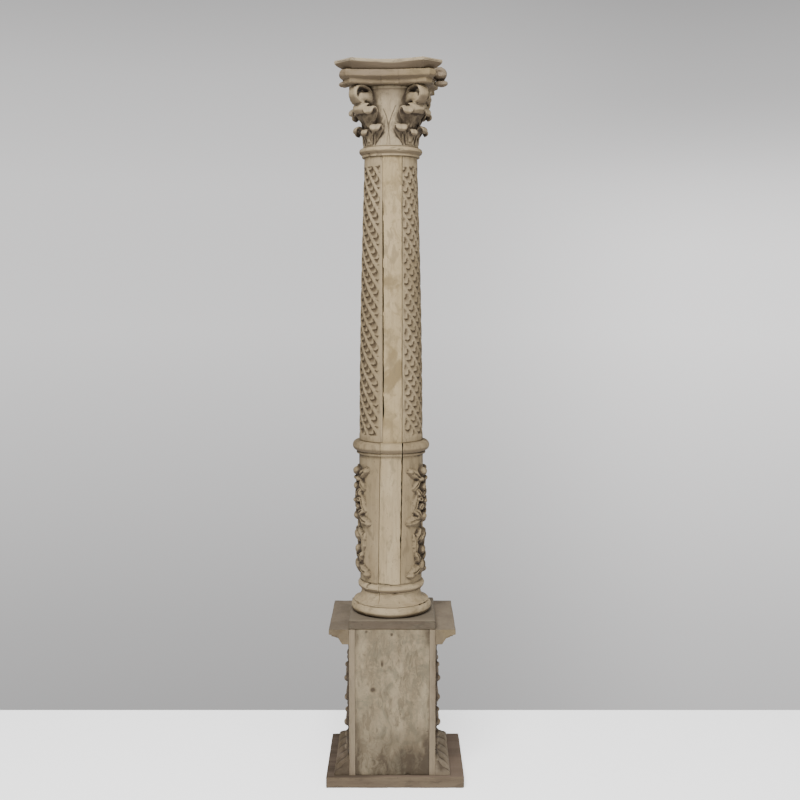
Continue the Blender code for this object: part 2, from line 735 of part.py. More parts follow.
z = Z_LOW_PLATE
low_plate = [plate_outline(LOW_PLATE_A - LOW_PLATE_STEP, LOW_PLATE_B - LOW_PLATE_STEP,
                           LOW_PLATE_MID - LOW_PLATE_STEP - 0.008, z, 8),
             plate_outline(LOW_PLATE_A - LOW_PLATE_STEP, LOW_PLATE_B - LOW_PLATE_STEP,
                           LOW_PLATE_MID - LOW_PLATE_STEP - 0.008, z + LOW_PLATE_STEP_H - 0.003, 8),
             plate_outline(LOW_PLATE_A - 0.003, LOW_PLATE_B - 0.003, LOW_PLATE_MID - 0.003,
                           z + LOW_PLATE_STEP_H, 8),
             plate_outline(LOW_PLATE_A, LOW_PLATE_B, LOW_PLATE_MID, z + LOW_PLATE_STEP_H + 0.002, 8),
             plate_outline(LOW_PLATE_A, LOW_PLATE_B, LOW_PLATE_MID, z + LOW_PLATE_H - GAP, 8)]
solids = [plain_object("plate", loft_mesh(low_plate))]
for az, out in FLOWERS:
    solids.append(egg(math.radians(az), out, z + TONGUE_RISE, TONGUE_DEEP, TONGUE_W, TONGUE_H))
finish("abacus_lower_plate", merged(solids), (0.43, 0.37, 0.28))

z = Z_TOP_PLATE
top_plate = []
cove_h = TOP_PLATE_H - TOP_FILLET_H
for k in range(5):
    t = k / 4
    deep = (1 - t) ** 1.6
    top_plate.append(plate_outline(TOP_PLATE_A - 0.004 * deep, TOP_PLATE_B - TOP_COVE_HORN * deep,
                                   TOP_PLATE_MID - TOP_COVE_MID * deep, z + cove_h * t, 8))
top_plate.append(plate_outline(TOP_PLATE_A, TOP_PLATE_B, TOP_PLATE_MID, z + TOP_PLATE_H, 8))
solids = [plain_object("plate", loft_mesh(top_plate))]
for az, out in FLOWERS:
    solids.append(egg(math.radians(az), out, z + BUD_RISE, BUD_DEEP, BUD_W, BUD_H))
finish("abacus_top_plate", merged(solids), (0.44, 0.38, 0.29))
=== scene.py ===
import math

import bmesh
import bpy
import numpy as np
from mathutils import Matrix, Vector
from mathutils.bvhtree import BVHTree


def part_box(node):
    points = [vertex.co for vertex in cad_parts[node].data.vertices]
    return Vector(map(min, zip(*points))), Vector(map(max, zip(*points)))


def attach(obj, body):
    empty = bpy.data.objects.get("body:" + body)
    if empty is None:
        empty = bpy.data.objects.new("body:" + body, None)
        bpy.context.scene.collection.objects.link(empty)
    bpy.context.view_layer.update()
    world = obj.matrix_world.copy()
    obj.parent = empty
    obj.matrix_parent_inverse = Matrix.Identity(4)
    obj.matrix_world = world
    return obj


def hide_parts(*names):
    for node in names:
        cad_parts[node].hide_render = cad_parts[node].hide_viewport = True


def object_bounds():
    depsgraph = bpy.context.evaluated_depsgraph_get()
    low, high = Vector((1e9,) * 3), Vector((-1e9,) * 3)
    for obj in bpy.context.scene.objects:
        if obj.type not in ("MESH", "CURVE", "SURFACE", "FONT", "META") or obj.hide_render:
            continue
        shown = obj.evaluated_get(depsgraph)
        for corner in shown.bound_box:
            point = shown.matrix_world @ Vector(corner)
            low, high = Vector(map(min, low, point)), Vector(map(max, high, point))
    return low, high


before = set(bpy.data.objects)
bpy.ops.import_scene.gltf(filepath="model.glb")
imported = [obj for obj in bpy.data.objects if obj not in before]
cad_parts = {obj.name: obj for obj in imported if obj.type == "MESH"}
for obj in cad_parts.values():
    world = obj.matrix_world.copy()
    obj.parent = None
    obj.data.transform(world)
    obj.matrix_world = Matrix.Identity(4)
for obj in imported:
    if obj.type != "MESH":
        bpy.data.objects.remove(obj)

CAD_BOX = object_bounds()

# Column axis and the heights of the joints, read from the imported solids
RING_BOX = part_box("neck_ring")
AXIS_X = (RING_BOX[0][0] + RING_BOX[1][0]) / 2
AXIS_Y = (RING_BOX[0][1] + RING_BOX[1][1]) / 2
Z_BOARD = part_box("base_board")[1][2]
Z_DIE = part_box("rear_panel")[0][2]
Z_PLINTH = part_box("plinth")[0][2]
Z_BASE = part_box("turned_base")[0][2]
Z_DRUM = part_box("drum")[0][2]
Z_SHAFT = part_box("shaft")[0][2]
Z_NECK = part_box("neck_ring")[0][2]
Z_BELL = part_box("capital")[0][2]
Z_LOW_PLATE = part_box("abacus_lower_plate")[0][2]
Z_TOP_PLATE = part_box("abacus_top_plate")[0][2]
Z_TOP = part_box("abacus_top_plate")[1][2]

# Camera, from the photograph: focal length in picture points, place relative to the column axis
PICTURE_WIDTH = 800.0
PICTURE_MID = 400
HORIZON_ROW = 289.1
SENSOR_WIDTH = 36.0
CAM_FOCAL = 1150.0
CAM_PITCH = math.atan((PICTURE_MID - HORIZON_ROW) / CAM_FOCAL)
CAM_DIST = 3.8675
CAM_Z = 1.664
CAM_SIDE = 0.0304


def picture_z(y, reach):
    """Height of the point at a picture row, on a surface that far in front of the column axis."""
    up = math.atan((PICTURE_MID - y) / CAM_FOCAL) - CAM_PITCH
    return CAM_Z + (CAM_DIST - reach) * math.tan(up)


def picture_x(x, reach):
    """Sideways place of the point at a picture column, on a surface that far in front of the axis."""
    return AXIS_X + CAM_SIDE + (x - PICTURE_MID) / CAM_FOCAL * (CAM_DIST - reach)


# Noise in plain numbers, for hand-worked unevenness
def lattice(ix, iy, iz, seed):
    h = (ix * 374761393 + iy * 668265263 + iz * 2147483647 + seed * 974711) & 0xFFFFFFFF
    h = ((h ^ (h >> 13)) * 1274126177) & 0xFFFFFFFF
    return ((h ^ (h >> 16)) & 0xFFFF) / 32767.5 - 1.0


def noise(p, size, seed=0):
    """Smooth noise from -1 to 1 at points p (N, 3); size is the grain in metres, one number or three."""
    q = np.asarray(p, float) / np.asarray(size, float) + 1000.0
    i = np.floor(q).astype(np.int64)
    f = q - i
    f = f * f * (3 - 2 * f)
    out = 0.0
    for dx in (0, 1):
        for dy in (0, 1):
            for dz in (0, 1):
                w = (f[:, 0] if dx else 1 - f[:, 0]) * (f[:, 1] if dy else 1 - f[:, 1])
                w = w * (f[:, 2] if dz else 1 - f[:, 2])
                out = out + w * lattice(i[:, 0] + dx, i[:, 1] + dy, i[:, 2] + dz, seed)
    return out


def smooth(a, b, x):
    t = np.clip((x - a) / (b - a), 0, 1)
    return t * t * (3 - 2 * t)


def wander(z, size, seed):
    """Noise along the height, as one number."""
    return float(noise(np.array([[0.0, 0.0, z]]), size, seed)[0])


# Mesh helpers
def shade_smooth(mesh):
    mesh.polygons.foreach_set("use_smooth", [True] * len(mesh.polygons))


def mesh_object(name, verts, faces, smooth_shade=True):
    mesh = bpy.data.meshes.new(name)
    mesh.from_pydata([tuple(v) for v in verts], [], [tuple(int(i) for i in f) for f in faces])
    mesh.update()
    obj = bpy.data.objects.new(name, mesh)
    bpy.context.scene.collection.objects.link(obj)
    if smooth_shade:
        shade_smooth(mesh)
    return obj


def rework(obj, work):
    """Changes the mesh in its editable form."""
    bm = bmesh.new()
    bm.from_mesh(obj.data)
    work(bm)
    bm.to_mesh(obj.data)
    bm.free()


def face_out(bm):
    bmesh.ops.recalc_face_normals(bm, faces=bm.faces[:])


def loft(name, rings, fan=True):
    """Closed solid through rings of equal count, given as an array (levels, points, 3).
    fan closes the ends from a middle point, for outlines that are seen whole from their middle."""
    rings = np.asarray(rings, float)
    m, n = rings.shape[:2]
    verts = rings.reshape(-1, 3)
    faces = []
    for j in range(m - 1):
        a = j * n
        b = a + n
        for i in range(n):
            k = (i + 1) % n
            faces.append((a + i, a + k, b + k, b + i))
    if fan:
        first = len(verts)
        verts = np.vstack([verts, rings[0].mean(0), rings[-1].mean(0)])
        top = (m - 1) * n
        for i in range(n):
            k = (i + 1) % n
            faces.append((k, i, first))
            faces.append((top + i, top + k, first + 1))
    obj = mesh_object(name, verts, faces)

    def close(bm):
        if not fan:
            bm.verts.ensure_lookup_table()
            ends = (range(n - 1, -1, -1), range((m - 1) * n, m * n))
            caps = [bm.faces.new([bm.verts[i] for i in end]) for end in ends]
            bmesh.ops.triangulate(bm, faces=caps, quad_method="BEAUTY", ngon_method="EAR_CLIP")
        face_out(bm)

    rework(obj, close)
    return obj


def sharp_by_angle(obj, degrees):
    """Edges that turn more than this stay sharp, and the rest is shaded smooth."""
    limit = math.radians(degrees)
    shade_smooth(obj.data)

    def mark(bm):
        for e in bm.edges:
            if len(e.link_faces) == 2 and e.calc_face_angle(0.0) > limit:
                e.smooth = False

    rework(obj, mark)


def point_values(obj, what):
    a = np.empty(len(obj.data.vertices) * 3)
    obj.data.vertices.foreach_get(what, a)
    return a.reshape(-1, 3)


def coords(obj):
    return point_values(obj, "co")


def normals(obj):
    return point_values(obj, "normal")


def set_coords(obj, a):
    obj.data.vertices.foreach_set("co", np.asarray(a, float).reshape(-1))
    obj.data.update()


def roughen(obj, amount, size, seed):
    p = coords(obj)
    d = noise(p, size, seed) * 0.65 + noise(p, np.asarray(size, float) * 0.4, seed + 5) * 0.35
    set_coords(obj, p + normals(obj) * (d * amount)[:, None])


def apply_modifiers(obj):
    graph = bpy.context.evaluated_depsgraph_get()
    new = bpy.data.meshes.new_from_object(obj.evaluated_get(graph))
    old = obj.data
    obj.modifiers.clear()
    obj.data = new
    bpy.data.meshes.remove(old)
    obj.data.name = obj.name


def attribute(obj, name, values):
    layer = obj.data.attributes.new(name, "FLOAT", "POINT")
    layer.data.foreach_set("value", np.clip(np.asarray(values, float), 0, 1))


GOLDEN = 0.618034


def hollow_dirt(obj, reach, rays, also=(), extra=0.0, gain=1.25):
    """Painted shade in hollows: share of short rays that meet a surface near by, stored on the points with
    the extra marks: 1 deep in a hollow.
    """
    p = coords(obj)
    nrm = normals(obj)
    points = []
    faces = []
    for piece in [obj] + list(also):
        first = len(points)
        points += [tuple(v) for v in coords(piece)]
        faces += [tuple(first + i for i in f.vertices) for f in piece.data.polygons]
    tree = BVHTree.FromPolygons(points, faces)
    dirs = []
    for k in range(rays):
        u = (k + 0.5) / rays
        a = 2 * math.pi * k * GOLDEN
        dirs.append((math.sqrt(u) * math.cos(a), math.sqrt(u) * math.sin(a), math.sqrt(1 - u * 0.92)))
    out = np.zeros(len(p))
    for i in range(len(p)):
        n = Vector(nrm[i])
        if n.length < 0.5:
            continue
        t = n.orthogonal().normalized()
        b = n.cross(t)
        start = Vector(p[i]) + n * 0.0006
        total = 0.0
        for dx, dy, dz in dirs:
            hit = tree.ray_cast(start, t * dx + b * dy + n * dz, reach)
            if hit[0] is not None:
                total += 1 - 0.6 * hit[3] / reach
        out[i] = total / rays
    attribute(obj, "dirt", out * gain + extra)


def settle(obj, nodes):
    """The piece stands for these nodes and rides on the body.
    It is kept within the box of the solids."""
    set_coords(obj, np.clip(coords(obj), CAD_BOX[0], CAD_BOX[1]))
    names = [nodes] if isinstance(nodes, str) else list(nodes)
    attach(obj, "root")
    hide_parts(*names)
    return obj


# Materials: bleached wood under worn limewash
GREY = (0.175, 0.152, 0.118)
# Colour of the painted shade in hollows
HOLLOW_SHADE_DARK = (0.036, 0.025, 0.015)
OCHRE = (0.185, 0.142, 0.070)
BARE = (0.120, 0.088, 0.060)
# Colour of the painted shade on what faces down
UNDERSIDE_SHADE = (0.070, 0.050, 0.030)
EVEN = (1, 1, 1)
ROUGHNESS = 0.78
SPECULAR = 0.25
BUMP_STRENGTH = 0.3
BUMP_DISTANCE = 0.002


def shade(tone, share):
    return tuple(c * share for c in tone)


class Shading:
    """Shader nodes of one material or world. The methods add nodes and give their output."""

    def __init__(self, owner):
        owner.use_nodes = True
        self.nodes = owner.node_tree.nodes
        self.links = owner.node_tree.links

    def feed(self, socket, value):
        if isinstance(value, bpy.types.NodeSocket):
            self.links.new(value, socket)
        elif isinstance(value, tuple):
            socket.default_value = (value[0], value[1], value[2], 1.0)
        else:
            socket.default_value = value

    def mix(self, fac, a, b, blend="MIX"):
        node = self.nodes.new("ShaderNodeMix")
        node.data_type = "RGBA"
        node.blend_type = blend
        for k, value in ((0, fac), (6, a), (7, b)):
            self.feed(node.inputs[k], value)
        return node.outputs[2]

    def ramp(self, source, low, high, v0=0.0, v1=1.0):
        node = self.nodes.new("ShaderNodeMapRange")
        node.interpolation_type = "SMOOTHSTEP"
        for k, value in enumerate((source, low, high, v0, v1)):
            self.feed(node.inputs[k], value)
        return node.outputs[0]

    def maths(self, op, a, b):
        node = self.nodes.new("ShaderNodeMath")
        node.operation = op
        for k, value in enumerate((a, b)):
            self.feed(node.inputs[k], value)
        return node.outputs[0]

    def cloud(self, vector, scale, detail, rough, stretch, shift, turn=0.0, swirl=0.0):
        mapping = self.nodes.new("ShaderNodeMapping")
        mapping.inputs["Scale"].default_value = stretch
        mapping.inputs["Location"].default_value = shift
        mapping.inputs["Rotation"].default_value = (0, turn, 0)
        self.links.new(vector, mapping.inputs["Vector"])
        node = self.nodes.new("ShaderNodeTexNoise")
        node.inputs["Scale"].default_value = scale
        node.inputs["Detail"].default_value = detail
        node.inputs["Roughness"].default_value = rough
        node.inputs["Distortion"].default_value = swirl
        self.links.new(mapping.outputs[0], node.inputs["Vector"])
        return node.outputs["Fac"]

    def cover(self, under, source, low, high, share, tone):
        """The tone over what is under it, more of it as the source goes from low to high."""
        return self.mix(self.ramp(source, low, high, 0.0, share), under, tone)


def wood(name, base, pale, grain_axis, stain, stain_colour, seed, dirt=0.9, grain=0.5, ochre=0.0, wash=0.5,
         under=0.75, smear=None, top=None, speck=0.6, turn=0.0, swirl=0.0, hollow_colour=HOLLOW_SHADE_DARK, soft=0.14,
         mottle=0.55):
    """Weathered wood. smear stretches the stains and turn tilts them; top is the colour of what faces up,
    dust with painted top light; under is the share of painted shade on what faces down.
    """
    mat = bpy.data.materials.new(name)
    tree = Shading(mat)
    shader = tree.nodes["Principled BSDF"]
    place = tree.nodes.new("ShaderNodeTexCoord").outputs["Object"]
    long, mid = (tuple(k if axis == grain_axis else 1 for axis in "XYZ") for k in (0.05, 0.35))
    smear = smear or mid
    a, b, c = seed * 1.7, seed * 3.1, seed * 0.9
    off = (a, b, c)
    fine = tree.cloud(place, 300.0, 5.0, 0.6, long, off)
    streak = tree.cloud(place, 95.0, 4.0, 0.6, long, off)
    broad = tree.cloud(place, 8.0, 6.0, 0.62, mid, off)
    blot = tree.cloud(place, 30.0, 5.0, 0.62, smear, (b, a, c), turn, swirl)
    patch = tree.cloud(place, 9.0, 6.0, 0.62, smear, (c + 5, b, a + 2), turn, swirl)
    smudge = tree.cloud(place, 52.0, 4.0, 0.65, mid, (c + 3, a + 7, b), turn, 0.8)
    spots = tree.cloud(place, 170.0, 3.0, 0.55, EVEN, off)
    # Layers over the base: texture, where it starts, where it is full, its share there, its colour
    colour = base
    for source, low, high, share, tone in (
            (broad, 0.40, 0.60, wash, pale), (blot, 0.48, 0.64, 0.5 * wash, pale),
            (streak, 0.50, 0.68, 0.55 * grain, shade(base, 0.60)),
            (fine, 0.54, 0.70, 0.5 * grain, shade(base, 0.50)),
            (patch, 0.56 - soft / 2, 0.56 + soft / 2, stain, stain_colour),
            (blot, 0.50, 0.38, 0.55 * stain, stain_colour),
            (smudge, 0.52, 0.66, mottle, shade(base, 0.55))):
        colour = tree.cover(colour, source, low, high, share, tone)
    if ochre > 0:
        warm = tree.cloud(place, 15.0, 4.0, 0.6, EVEN, (a + 9, c, b))
        colour = tree.cover(colour, warm, 0.46, 0.62, ochre, OCHRE)
    colour = tree.cover(colour, spots, 0.63, 0.74, speck, shade(base, 0.35))
    geometry = tree.nodes.new("ShaderNodeNewGeometry")
    facing = tree.nodes.new("ShaderNodeSeparateXYZ")
    tree.links.new(geometry.outputs["Normal"], facing.inputs[0])
    up = facing.outputs[2]
    # Painted shade on what faces down
    colour = tree.cover(colour, up, -0.02, -0.42, under, UNDERSIDE_SHADE)
    # What faces up takes the top colour: dust, and painted light on the tops
    if top is not None:
        top_dust_and_light = tree.cover(top, patch, 0.44, 0.60, 0.7, shade(top, 0.72))
        colour = tree.cover(colour, up, 0.55, 0.90, 0.85, top_dust_and_light)
    colour = tree.cover(colour, geometry.outputs["Pointiness"], 0.53, 0.62, 0.45, pale)
    # Painted shade in hollows, with some dirt: the stored share darkens the wood towards the hollow colour
    hollow = tree.nodes.new("ShaderNodeAttribute")
    hollow.attribute_name = "dirt"
    broken = tree.maths("MULTIPLY", hollow.outputs["Fac"], tree.ramp(blot, 0.35, 0.62, 0.85, 1.2))
    colour = tree.cover(colour, broken, 0.06, 0.50, dirt, hollow_colour)
    tree.links.new(colour, shader.inputs["Base Color"])
    tree.links.new(tree.ramp(blot, 0.3, 0.7, ROUGHNESS - 0.08, ROUGHNESS + 0.10), shader.inputs["Roughness"])
    shader.inputs["Specular IOR Level"].default_value = SPECULAR
    height = tree.maths("ADD", tree.maths("MULTIPLY", fine, 0.5), tree.maths("MULTIPLY", streak, 0.6))
    bumper = tree.nodes.new("ShaderNodeBump")
    bumper.inputs["Strength"].default_value = BUMP_STRENGTH
    bumper.inputs["Distance"].default_value = BUMP_DISTANCE
    tree.links.new(height, bumper.inputs["Height"])
    tree.links.new(bumper.outputs[0], shader.inputs["Normal"])
    return mat


def dress(obj, mat):
    obj.data.materials.clear()
    obj.data.materials.append(mat)
    return obj


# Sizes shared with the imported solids, in metres
GAP = 0.0003
TORUS_LOW_R = 0.1365
TORUS_LOW_H = 0.037
BASE_LEDGE_R = 0.1275
SCOTIA_H = 0.043
SCOTIA_R = 0.1005
TORUS_UP_R = 0.113
TORUS_UP_H = 0.027
BASE_TOP_R = 0.1025
DRUM_H = 0.4318
DRUM_R_LOW = 0.1050
DRUM_R_TOP = 0.1080
RING_FILLET_R = 0.1165
RING_FILLET_H = 0.009
RING_R = 0.1295
RING_H = 0.036
DRUM_BORE_R = 0.062
DRUM_SEAM_LEFT = (-0.043, -0.036)
DRUM_SEAM_RIGHT = (0.032, 0.040)
DROP_H = 0.026
DROP_AZ = (-78.0, 68.0, 180.0)
SHAFT_H = 0.936
SHAFT_R_LOW = 0.1075
SHAFT_R_TOP = 0.0875
SHAFT_SWELL = 1.8
SHAFT_BORE_R = 0.056
SHAFT_SEAM_LEFT = -0.027
SHAFT_SEAM_RIGHT = 0.0386
STAVE_T = 0.026
NECK_FILLET_R = 0.0955
NECK_FILLET_H = 0.009
NECK_R = 0.1045
NECK_H = 0.021
CAPITAL_TURN = math.radians(-3.5)


def ring_at(az, r, z, x0=AXIS_X, y0=AXIS_Y):
    """Points at angles az and radii r round an upright axis."""
    return np.stack([x0 + r * np.sin(az), y0 - r * np.cos(az), np.full(len(az), z)], 1)


def circle_rings(profile, angles, wobble=None):
    out = []
    for r, z in profile:
        rr = np.full(len(angles), r)
        if wobble is not None:
            rr = rr + wobble(angles, z)
        out.append(ring_at(angles, rr, z))
    return np.array(out)


def bead(r_out, h, z0, bulge, steps):
    a = -math.pi / 2 + math.pi * np.arange(steps + 1) / steps
    return [(r_out - bulge + bulge * math.cos(t), z0 + h / 2 + h / 2 * math.sin(t)) for t in a]


def split_angles(count, lines):
    """Even angles, with three close ones at each crack line so that it can be cut in."""
    base = np.linspace(0, 2 * math.pi, count, endpoint=False)
    half = math.radians(0.55)
    extra = []
    for a in lines:
        a = a % (2 * math.pi)
        base = base[np.abs(base - a) > half * 1.6]
        extra += [a - half, a, a + half]
    return np.sort(np.concatenate([base, extra])) if extra else base


def chip(obj, seed):
    """Small dark dents here and there."""
    p = coords(obj)
    dent = smooth(0.54, 0.78, noise(p, (0.014, 0.014, 0.008), seed))
    set_coords(obj, p - normals(obj) * (0.0022 * dent)[:, None])
    attribute(obj, "dirt", 0.30 * dent)


def weather(obj, amount, size, seed, degrees, node, dents=None):
    """Uneven surface, dents if a seed is given for them, sharp arrises, and the piece is settled."""
    roughen(obj, amount, size, seed)
    if dents is not None:
        chip(obj, dents)
    sharp_by_angle(obj, degrees)
    return settle(obj, node)


def make_turned_base():
    z = Z_BASE
    prof = bead(TORUS_LOW_R, TORUS_LOW_H, z, TORUS_LOW_H / 2, 16)
    z += TORUS_LOW_H
    prof += [(BASE_LEDGE_R - 0.0012, z), (BASE_LEDGE_R, z + 0.001), (BASE_LEDGE_R, z + 0.0025),
             (BASE_LEDGE_R - 0.0008, z + 0.0034)]
    for k in range(1, 14):
        a = math.pi / 2 * k / 14
        prof.append((BASE_LEDGE_R - (BASE_LEDGE_R - SCOTIA_R) * math.sin(a),
                     z + SCOTIA_H - 0.008 - (SCOTIA_H - 0.0115) * math.cos(a)))
    z += SCOTIA_H
    prof += [(SCOTIA_R, z - 0.006), (SCOTIA_R + 0.0028, z - 0.0035), (SCOTIA_R + 0.003, z - 0.001)]
    prof += bead(TORUS_UP_R, TORUS_UP_H, z, TORUS_UP_H / 2, 14)
    z += TORUS_UP_H
    prof += [(BASE_TOP_R, z + 0.0005), (BASE_TOP_R, z + 0.0026)]
    crack = math.radians(-22.0)
    angles = split_angles(144, [crack])
    crack_low = Z_BASE + TORUS_LOW_H + 0.004

    def wobble(a, z):
        d = np.abs((a - crack + math.pi) % (2 * math.pi) - math.pi)
        return np.where(d < 0.002, -0.0035, 0.0) if z > crack_low else 0.0

    obj = loft("turned_base_wood", circle_rings(prof, angles, wobble))
    return weather(obj, 0.0007, (0.05, 0.05, 0.03), 3, 42, "turned_base", dents=5)


def make_neck_ring():
    prof = [(NECK_FILLET_R - 0.001, Z_NECK), (NECK_FILLET_R, Z_NECK + 0.001),
            (NECK_FILLET_R, Z_NECK + NECK_FILLET_H - 0.0005)]
    prof += bead(NECK_R, NECK_H, Z_NECK + NECK_FILLET_H, NECK_H / 2, 16)[1:]
    obj = loft("neck_ring_wood", circle_rings(prof, split_angles(132, [])))
    return weather(obj, 0.0006, (0.04, 0.04, 0.03), 8, 42, "neck_ring", dents=9)


# Sections that are open behind, and the staves that close them
def open_rings(levels, reach, bore, seams, n_out, n_in):
    """levels: (radius, height). reach(az, r, z) gives outer radii; seams(z) gives left and right in X."""
    rings = []
    for r, z in levels:
        left, right = seams(z)
        a = np.linspace(math.asin(right / r), 2 * math.pi + math.asin(left / r), n_out + 1)
        b = np.linspace(2 * math.pi + math.asin(left / bore), math.asin(right / bore), n_in + 1)
        ro = reach(a, r, z)
        az = np.concatenate([a, b])
        rr = np.concatenate([ro, np.full(n_in + 1, bore)])
        rings.append(ring_at(az, rr, z))
    return np.array(rings)


def stave_rings(levels, seams, depth, n):
    rings = []
    for r, z in levels:
        left, right = seams(z)
        a = np.linspace(math.asin(left / r), math.asin(right / r), n + 1)
        edge = np.ones(n + 1)
        edge[0] = edge[-1] = 0.0
        ro = r - 0.0012 * (1 - edge)
        pts = ring_at(a, ro, z)
        back = np.array([[AXIS_X + right, AXIS_Y - depth(r), z], [AXIS_X + left, AXIS_Y - depth(r), z]])
        rings.append(np.vstack([pts, back]))
    return np.array(rings)


def shaft_radius(z):
    t = np.clip((z - Z_SHAFT) / SHAFT_H, 0, 1)
    return SHAFT_R_LOW + (SHAFT_R_TOP - SHAFT_R_LOW) * t ** SHAFT_SWELL


def flank_shade_and_grime(p, amount):
    """Dirt that gathers towards the carved sides, away from the plain rear, together with painted shade that
    darkens the flanks.
    """
    az = np.abs(np.degrees(np.arctan2(p[:, 0] - AXIS_X, AXIS_Y - p[:, 1])))
    return amount * smooth(38, 82, az) * (1 + 0.6 * noise(p, (0.02, 0.02, 0.05), 401))


# Scale carving of the shaft
CHAINS = 14
CHAIN_RISE = 0.060
SCALE_LEN = 0.0243
CHAIN_SHARE = 0.66
SCALE_DEPTH = 0.0068
CARVE_R = 0.096
CARVE_TOP = 2.062
CARVE_LOW = 1.176
CARVE_LEFT = -23.0
CARVE_RIGHT = 25.0
CHAIN_SHIFT = -0.037
CARVE_RIGHT_SHARE = 0.77


def scale_carving(az, z):
    """Depth below the plain surface, for angles az in radians and height z in metres."""
    deg = np.degrees(az)
    p3 = np.stack([az * CARVE_R, np.full_like(az, z), np.zeros_like(az)], 1)
    sway = noise(p3, 0.05, 11)
    sway2 = noise(p3, 0.03, 12)
    per_deg = CHAINS * CHAIN_RISE / 360
    p = (z + per_deg * deg) / CHAIN_RISE + CHAIN_SHIFT + 0.045 * sway
    chain = np.floor(p)
    f = p - chain
    lean = math.atan2(per_deg * 180 / math.pi, CARVE_R)
    chain_round = chain - np.floor(deg / 360 + 0.5) * CHAINS
    along = (az * CARVE_R * math.cos(lean) - z * math.sin(lean)) / SCALE_LEN
    along = along + 0.39 * chain_round + 0.10 * sway2
    v = f / CHAIN_SHARE * 2 - 1
    inside = f < CHAIN_SHARE
    t = along - 0.42 * (1 - v * v)
    t = t - np.floor(t)
    scale = -SCALE_DEPTH * (1 - t) ** 0.75 - 0.0016 * v * v
    notch = np.exp(-((t - 0.07) / 0.11) ** 2 - ((v - 0.30) / 0.42) ** 2)
    notch = notch + 0.8 * np.exp(-((t - 0.97) / 0.06) ** 2 - ((v - 0.62) / 0.22) ** 2)
    scale = scale - 0.0055 * notch
    w = np.clip((f - CHAIN_SHARE) / (1 - CHAIN_SHARE), 0, 1)
    ridge = -0.0026 + 0.0024 * np.sqrt(np.clip(1 - (2 * w - 1) ** 2, 0, 1))
    ridge = ridge - 0.0008 * np.exp(-((w - 0.5) / 0.10) ** 2)
    h = np.where(inside, scale, ridge)
    a = (deg + 180) % 360 - 180
    left = smooth(CARVE_LEFT + 3, CARVE_LEFT - 6, a)
    right = smooth(CARVE_RIGHT - 1, CARVE_RIGHT + 4, a)
    mask = np.where(a < 0, left, right)
    top = CARVE_TOP + 0.004 * noise(p3, (0.03, 10, 10), 21)
    zz = np.full_like(a, z)
    mask = mask * smooth(top, top - 0.006, zz) * smooth(CARVE_LOW, CARVE_LOW + 0.008, zz)
    return h * mask * np.where(a > 0, CARVE_RIGHT_SHARE, 1.0)


def shaft_levels(count):
    return [(float(shaft_radius(z)), z) for z in np.linspace(Z_SHAFT, Z_SHAFT + SHAFT_H - GAP, count)]


def make_shaft():
    cols = 210
    depth = []

    def reach(a, r, z):
        d = scale_carving(a, z)
        depth.append(d)
        return r + d

    def seams(z):
        return SHAFT_SEAM_LEFT, SHAFT_SEAM_RIGHT

    rings = open_rings(shaft_levels(421), reach, SHAFT_BORE_R, seams, cols, 6)
    obj = loft("shaft_carving", rings, fan=False)
    cut = np.zeros(rings.shape[:2])
    cut[:, :cols + 1] = np.array(depth)
    # Painted shade in the carved grooves, darker where cut deeper, with the flank shade and grime
    groove_shade = np.clip((-cut.reshape(-1) - 0.0016) / 0.0085, 0, 1)
    attribute(obj, "dirt", groove_shade + flank_shade_and_grime(coords(obj), 0.12))
    return settle(obj, "shaft")


def make_shaft_stave():
    top_open = picture_z(200, 0.09)
    low_open = picture_z(421, 0.10)

    def seams(z):
        opened = smooth(top_open + 0.01, top_open - 0.03, z) * smooth(low_open - 0.01, low_open + 0.03, z)
        gap = 0.0034 * float(opened)
        gap *= 1 + 0.35 * wander(z, 0.06, 31)
        gap *= 0.35 if wander(z, 0.022, 33) > 0.62 else 1.0
        right = 0.0010 + 0.0006 * wander(z, 0.03, 35)
        return SHAFT_SEAM_LEFT + 0.0006 + gap, SHAFT_SEAM_RIGHT - right

    obj = loft("shaft_stave_wood", stave_rings(shaft_levels(330), seams, lambda r: r - STAVE_T, 22))
    return weather(obj, 0.0005, (0.02, 0.02, 0.12), 41, 50, "shaft_stave")


# Raised lumps: across, up, half length, half width, height share, lean in degrees, kind.
# A pair stands once on each side; its lean is a fixed part and a part that turns with the side.
# A flower: petals, first angle, reach, up, half length, half width, height share.
DROP_MIDDLE = ((0, 373, 17, 15, 0.86, 0, "b"), (-15, 349, 14, 12, 0.74, 0, "b"),
               (15, 349, 14, 12, 0.74, 0, "b"), (0, 322, 16, 13, 0.80, 90, "b"),
               (0, 273, 10, 10, 0.92, 0, "b"), (0, 223, 15, 14, 0.85, 90, "b"),
               (0, 152, 24, 17, 1.00, 90, "l"), (0, 108, 17, 13, 0.70, 90, "b"),
               (0, 52, 26, 19, 0.92, 90, "l"), (0, 190, 50, 5, 0.35, 90, "b"),
               (0, 300, 50, 5, 0.35, 90, "b"))
DROP_PAIRS = ((38, 366, 27, 14, 0.62, 0, 35, "l"), (60, 379, 11, 10, 0.60, 0, 35, "b"),
              (33, 330, 24, 12, 0.62, 90, 30, "l"), (37, 268, 34, 13, 0.58, 90, 14, "l"),
              (20, 300, 20, 11, 0.80, 0, 60, "l"), (42, 210, 34, 15, 0.66, 0, -14, "l"),
              (66, 201, 11, 10, 0.55, 0, 0, "b"), (24, 232, 22, 11, 0.74, 0, 50, "l"),
              (36, 128, 40, 11, 0.50, 90, -12, "l"), (20, 160, 24, 12, 0.70, 90, 25, "l"),
              (22, 82, 24, 12, 0.74, 90, -30, "l"), (36, 40, 30, 14, 0.66, 0, -24, "l"),
              (58, 26, 13, 12, 0.66, 0, 0, "b"))
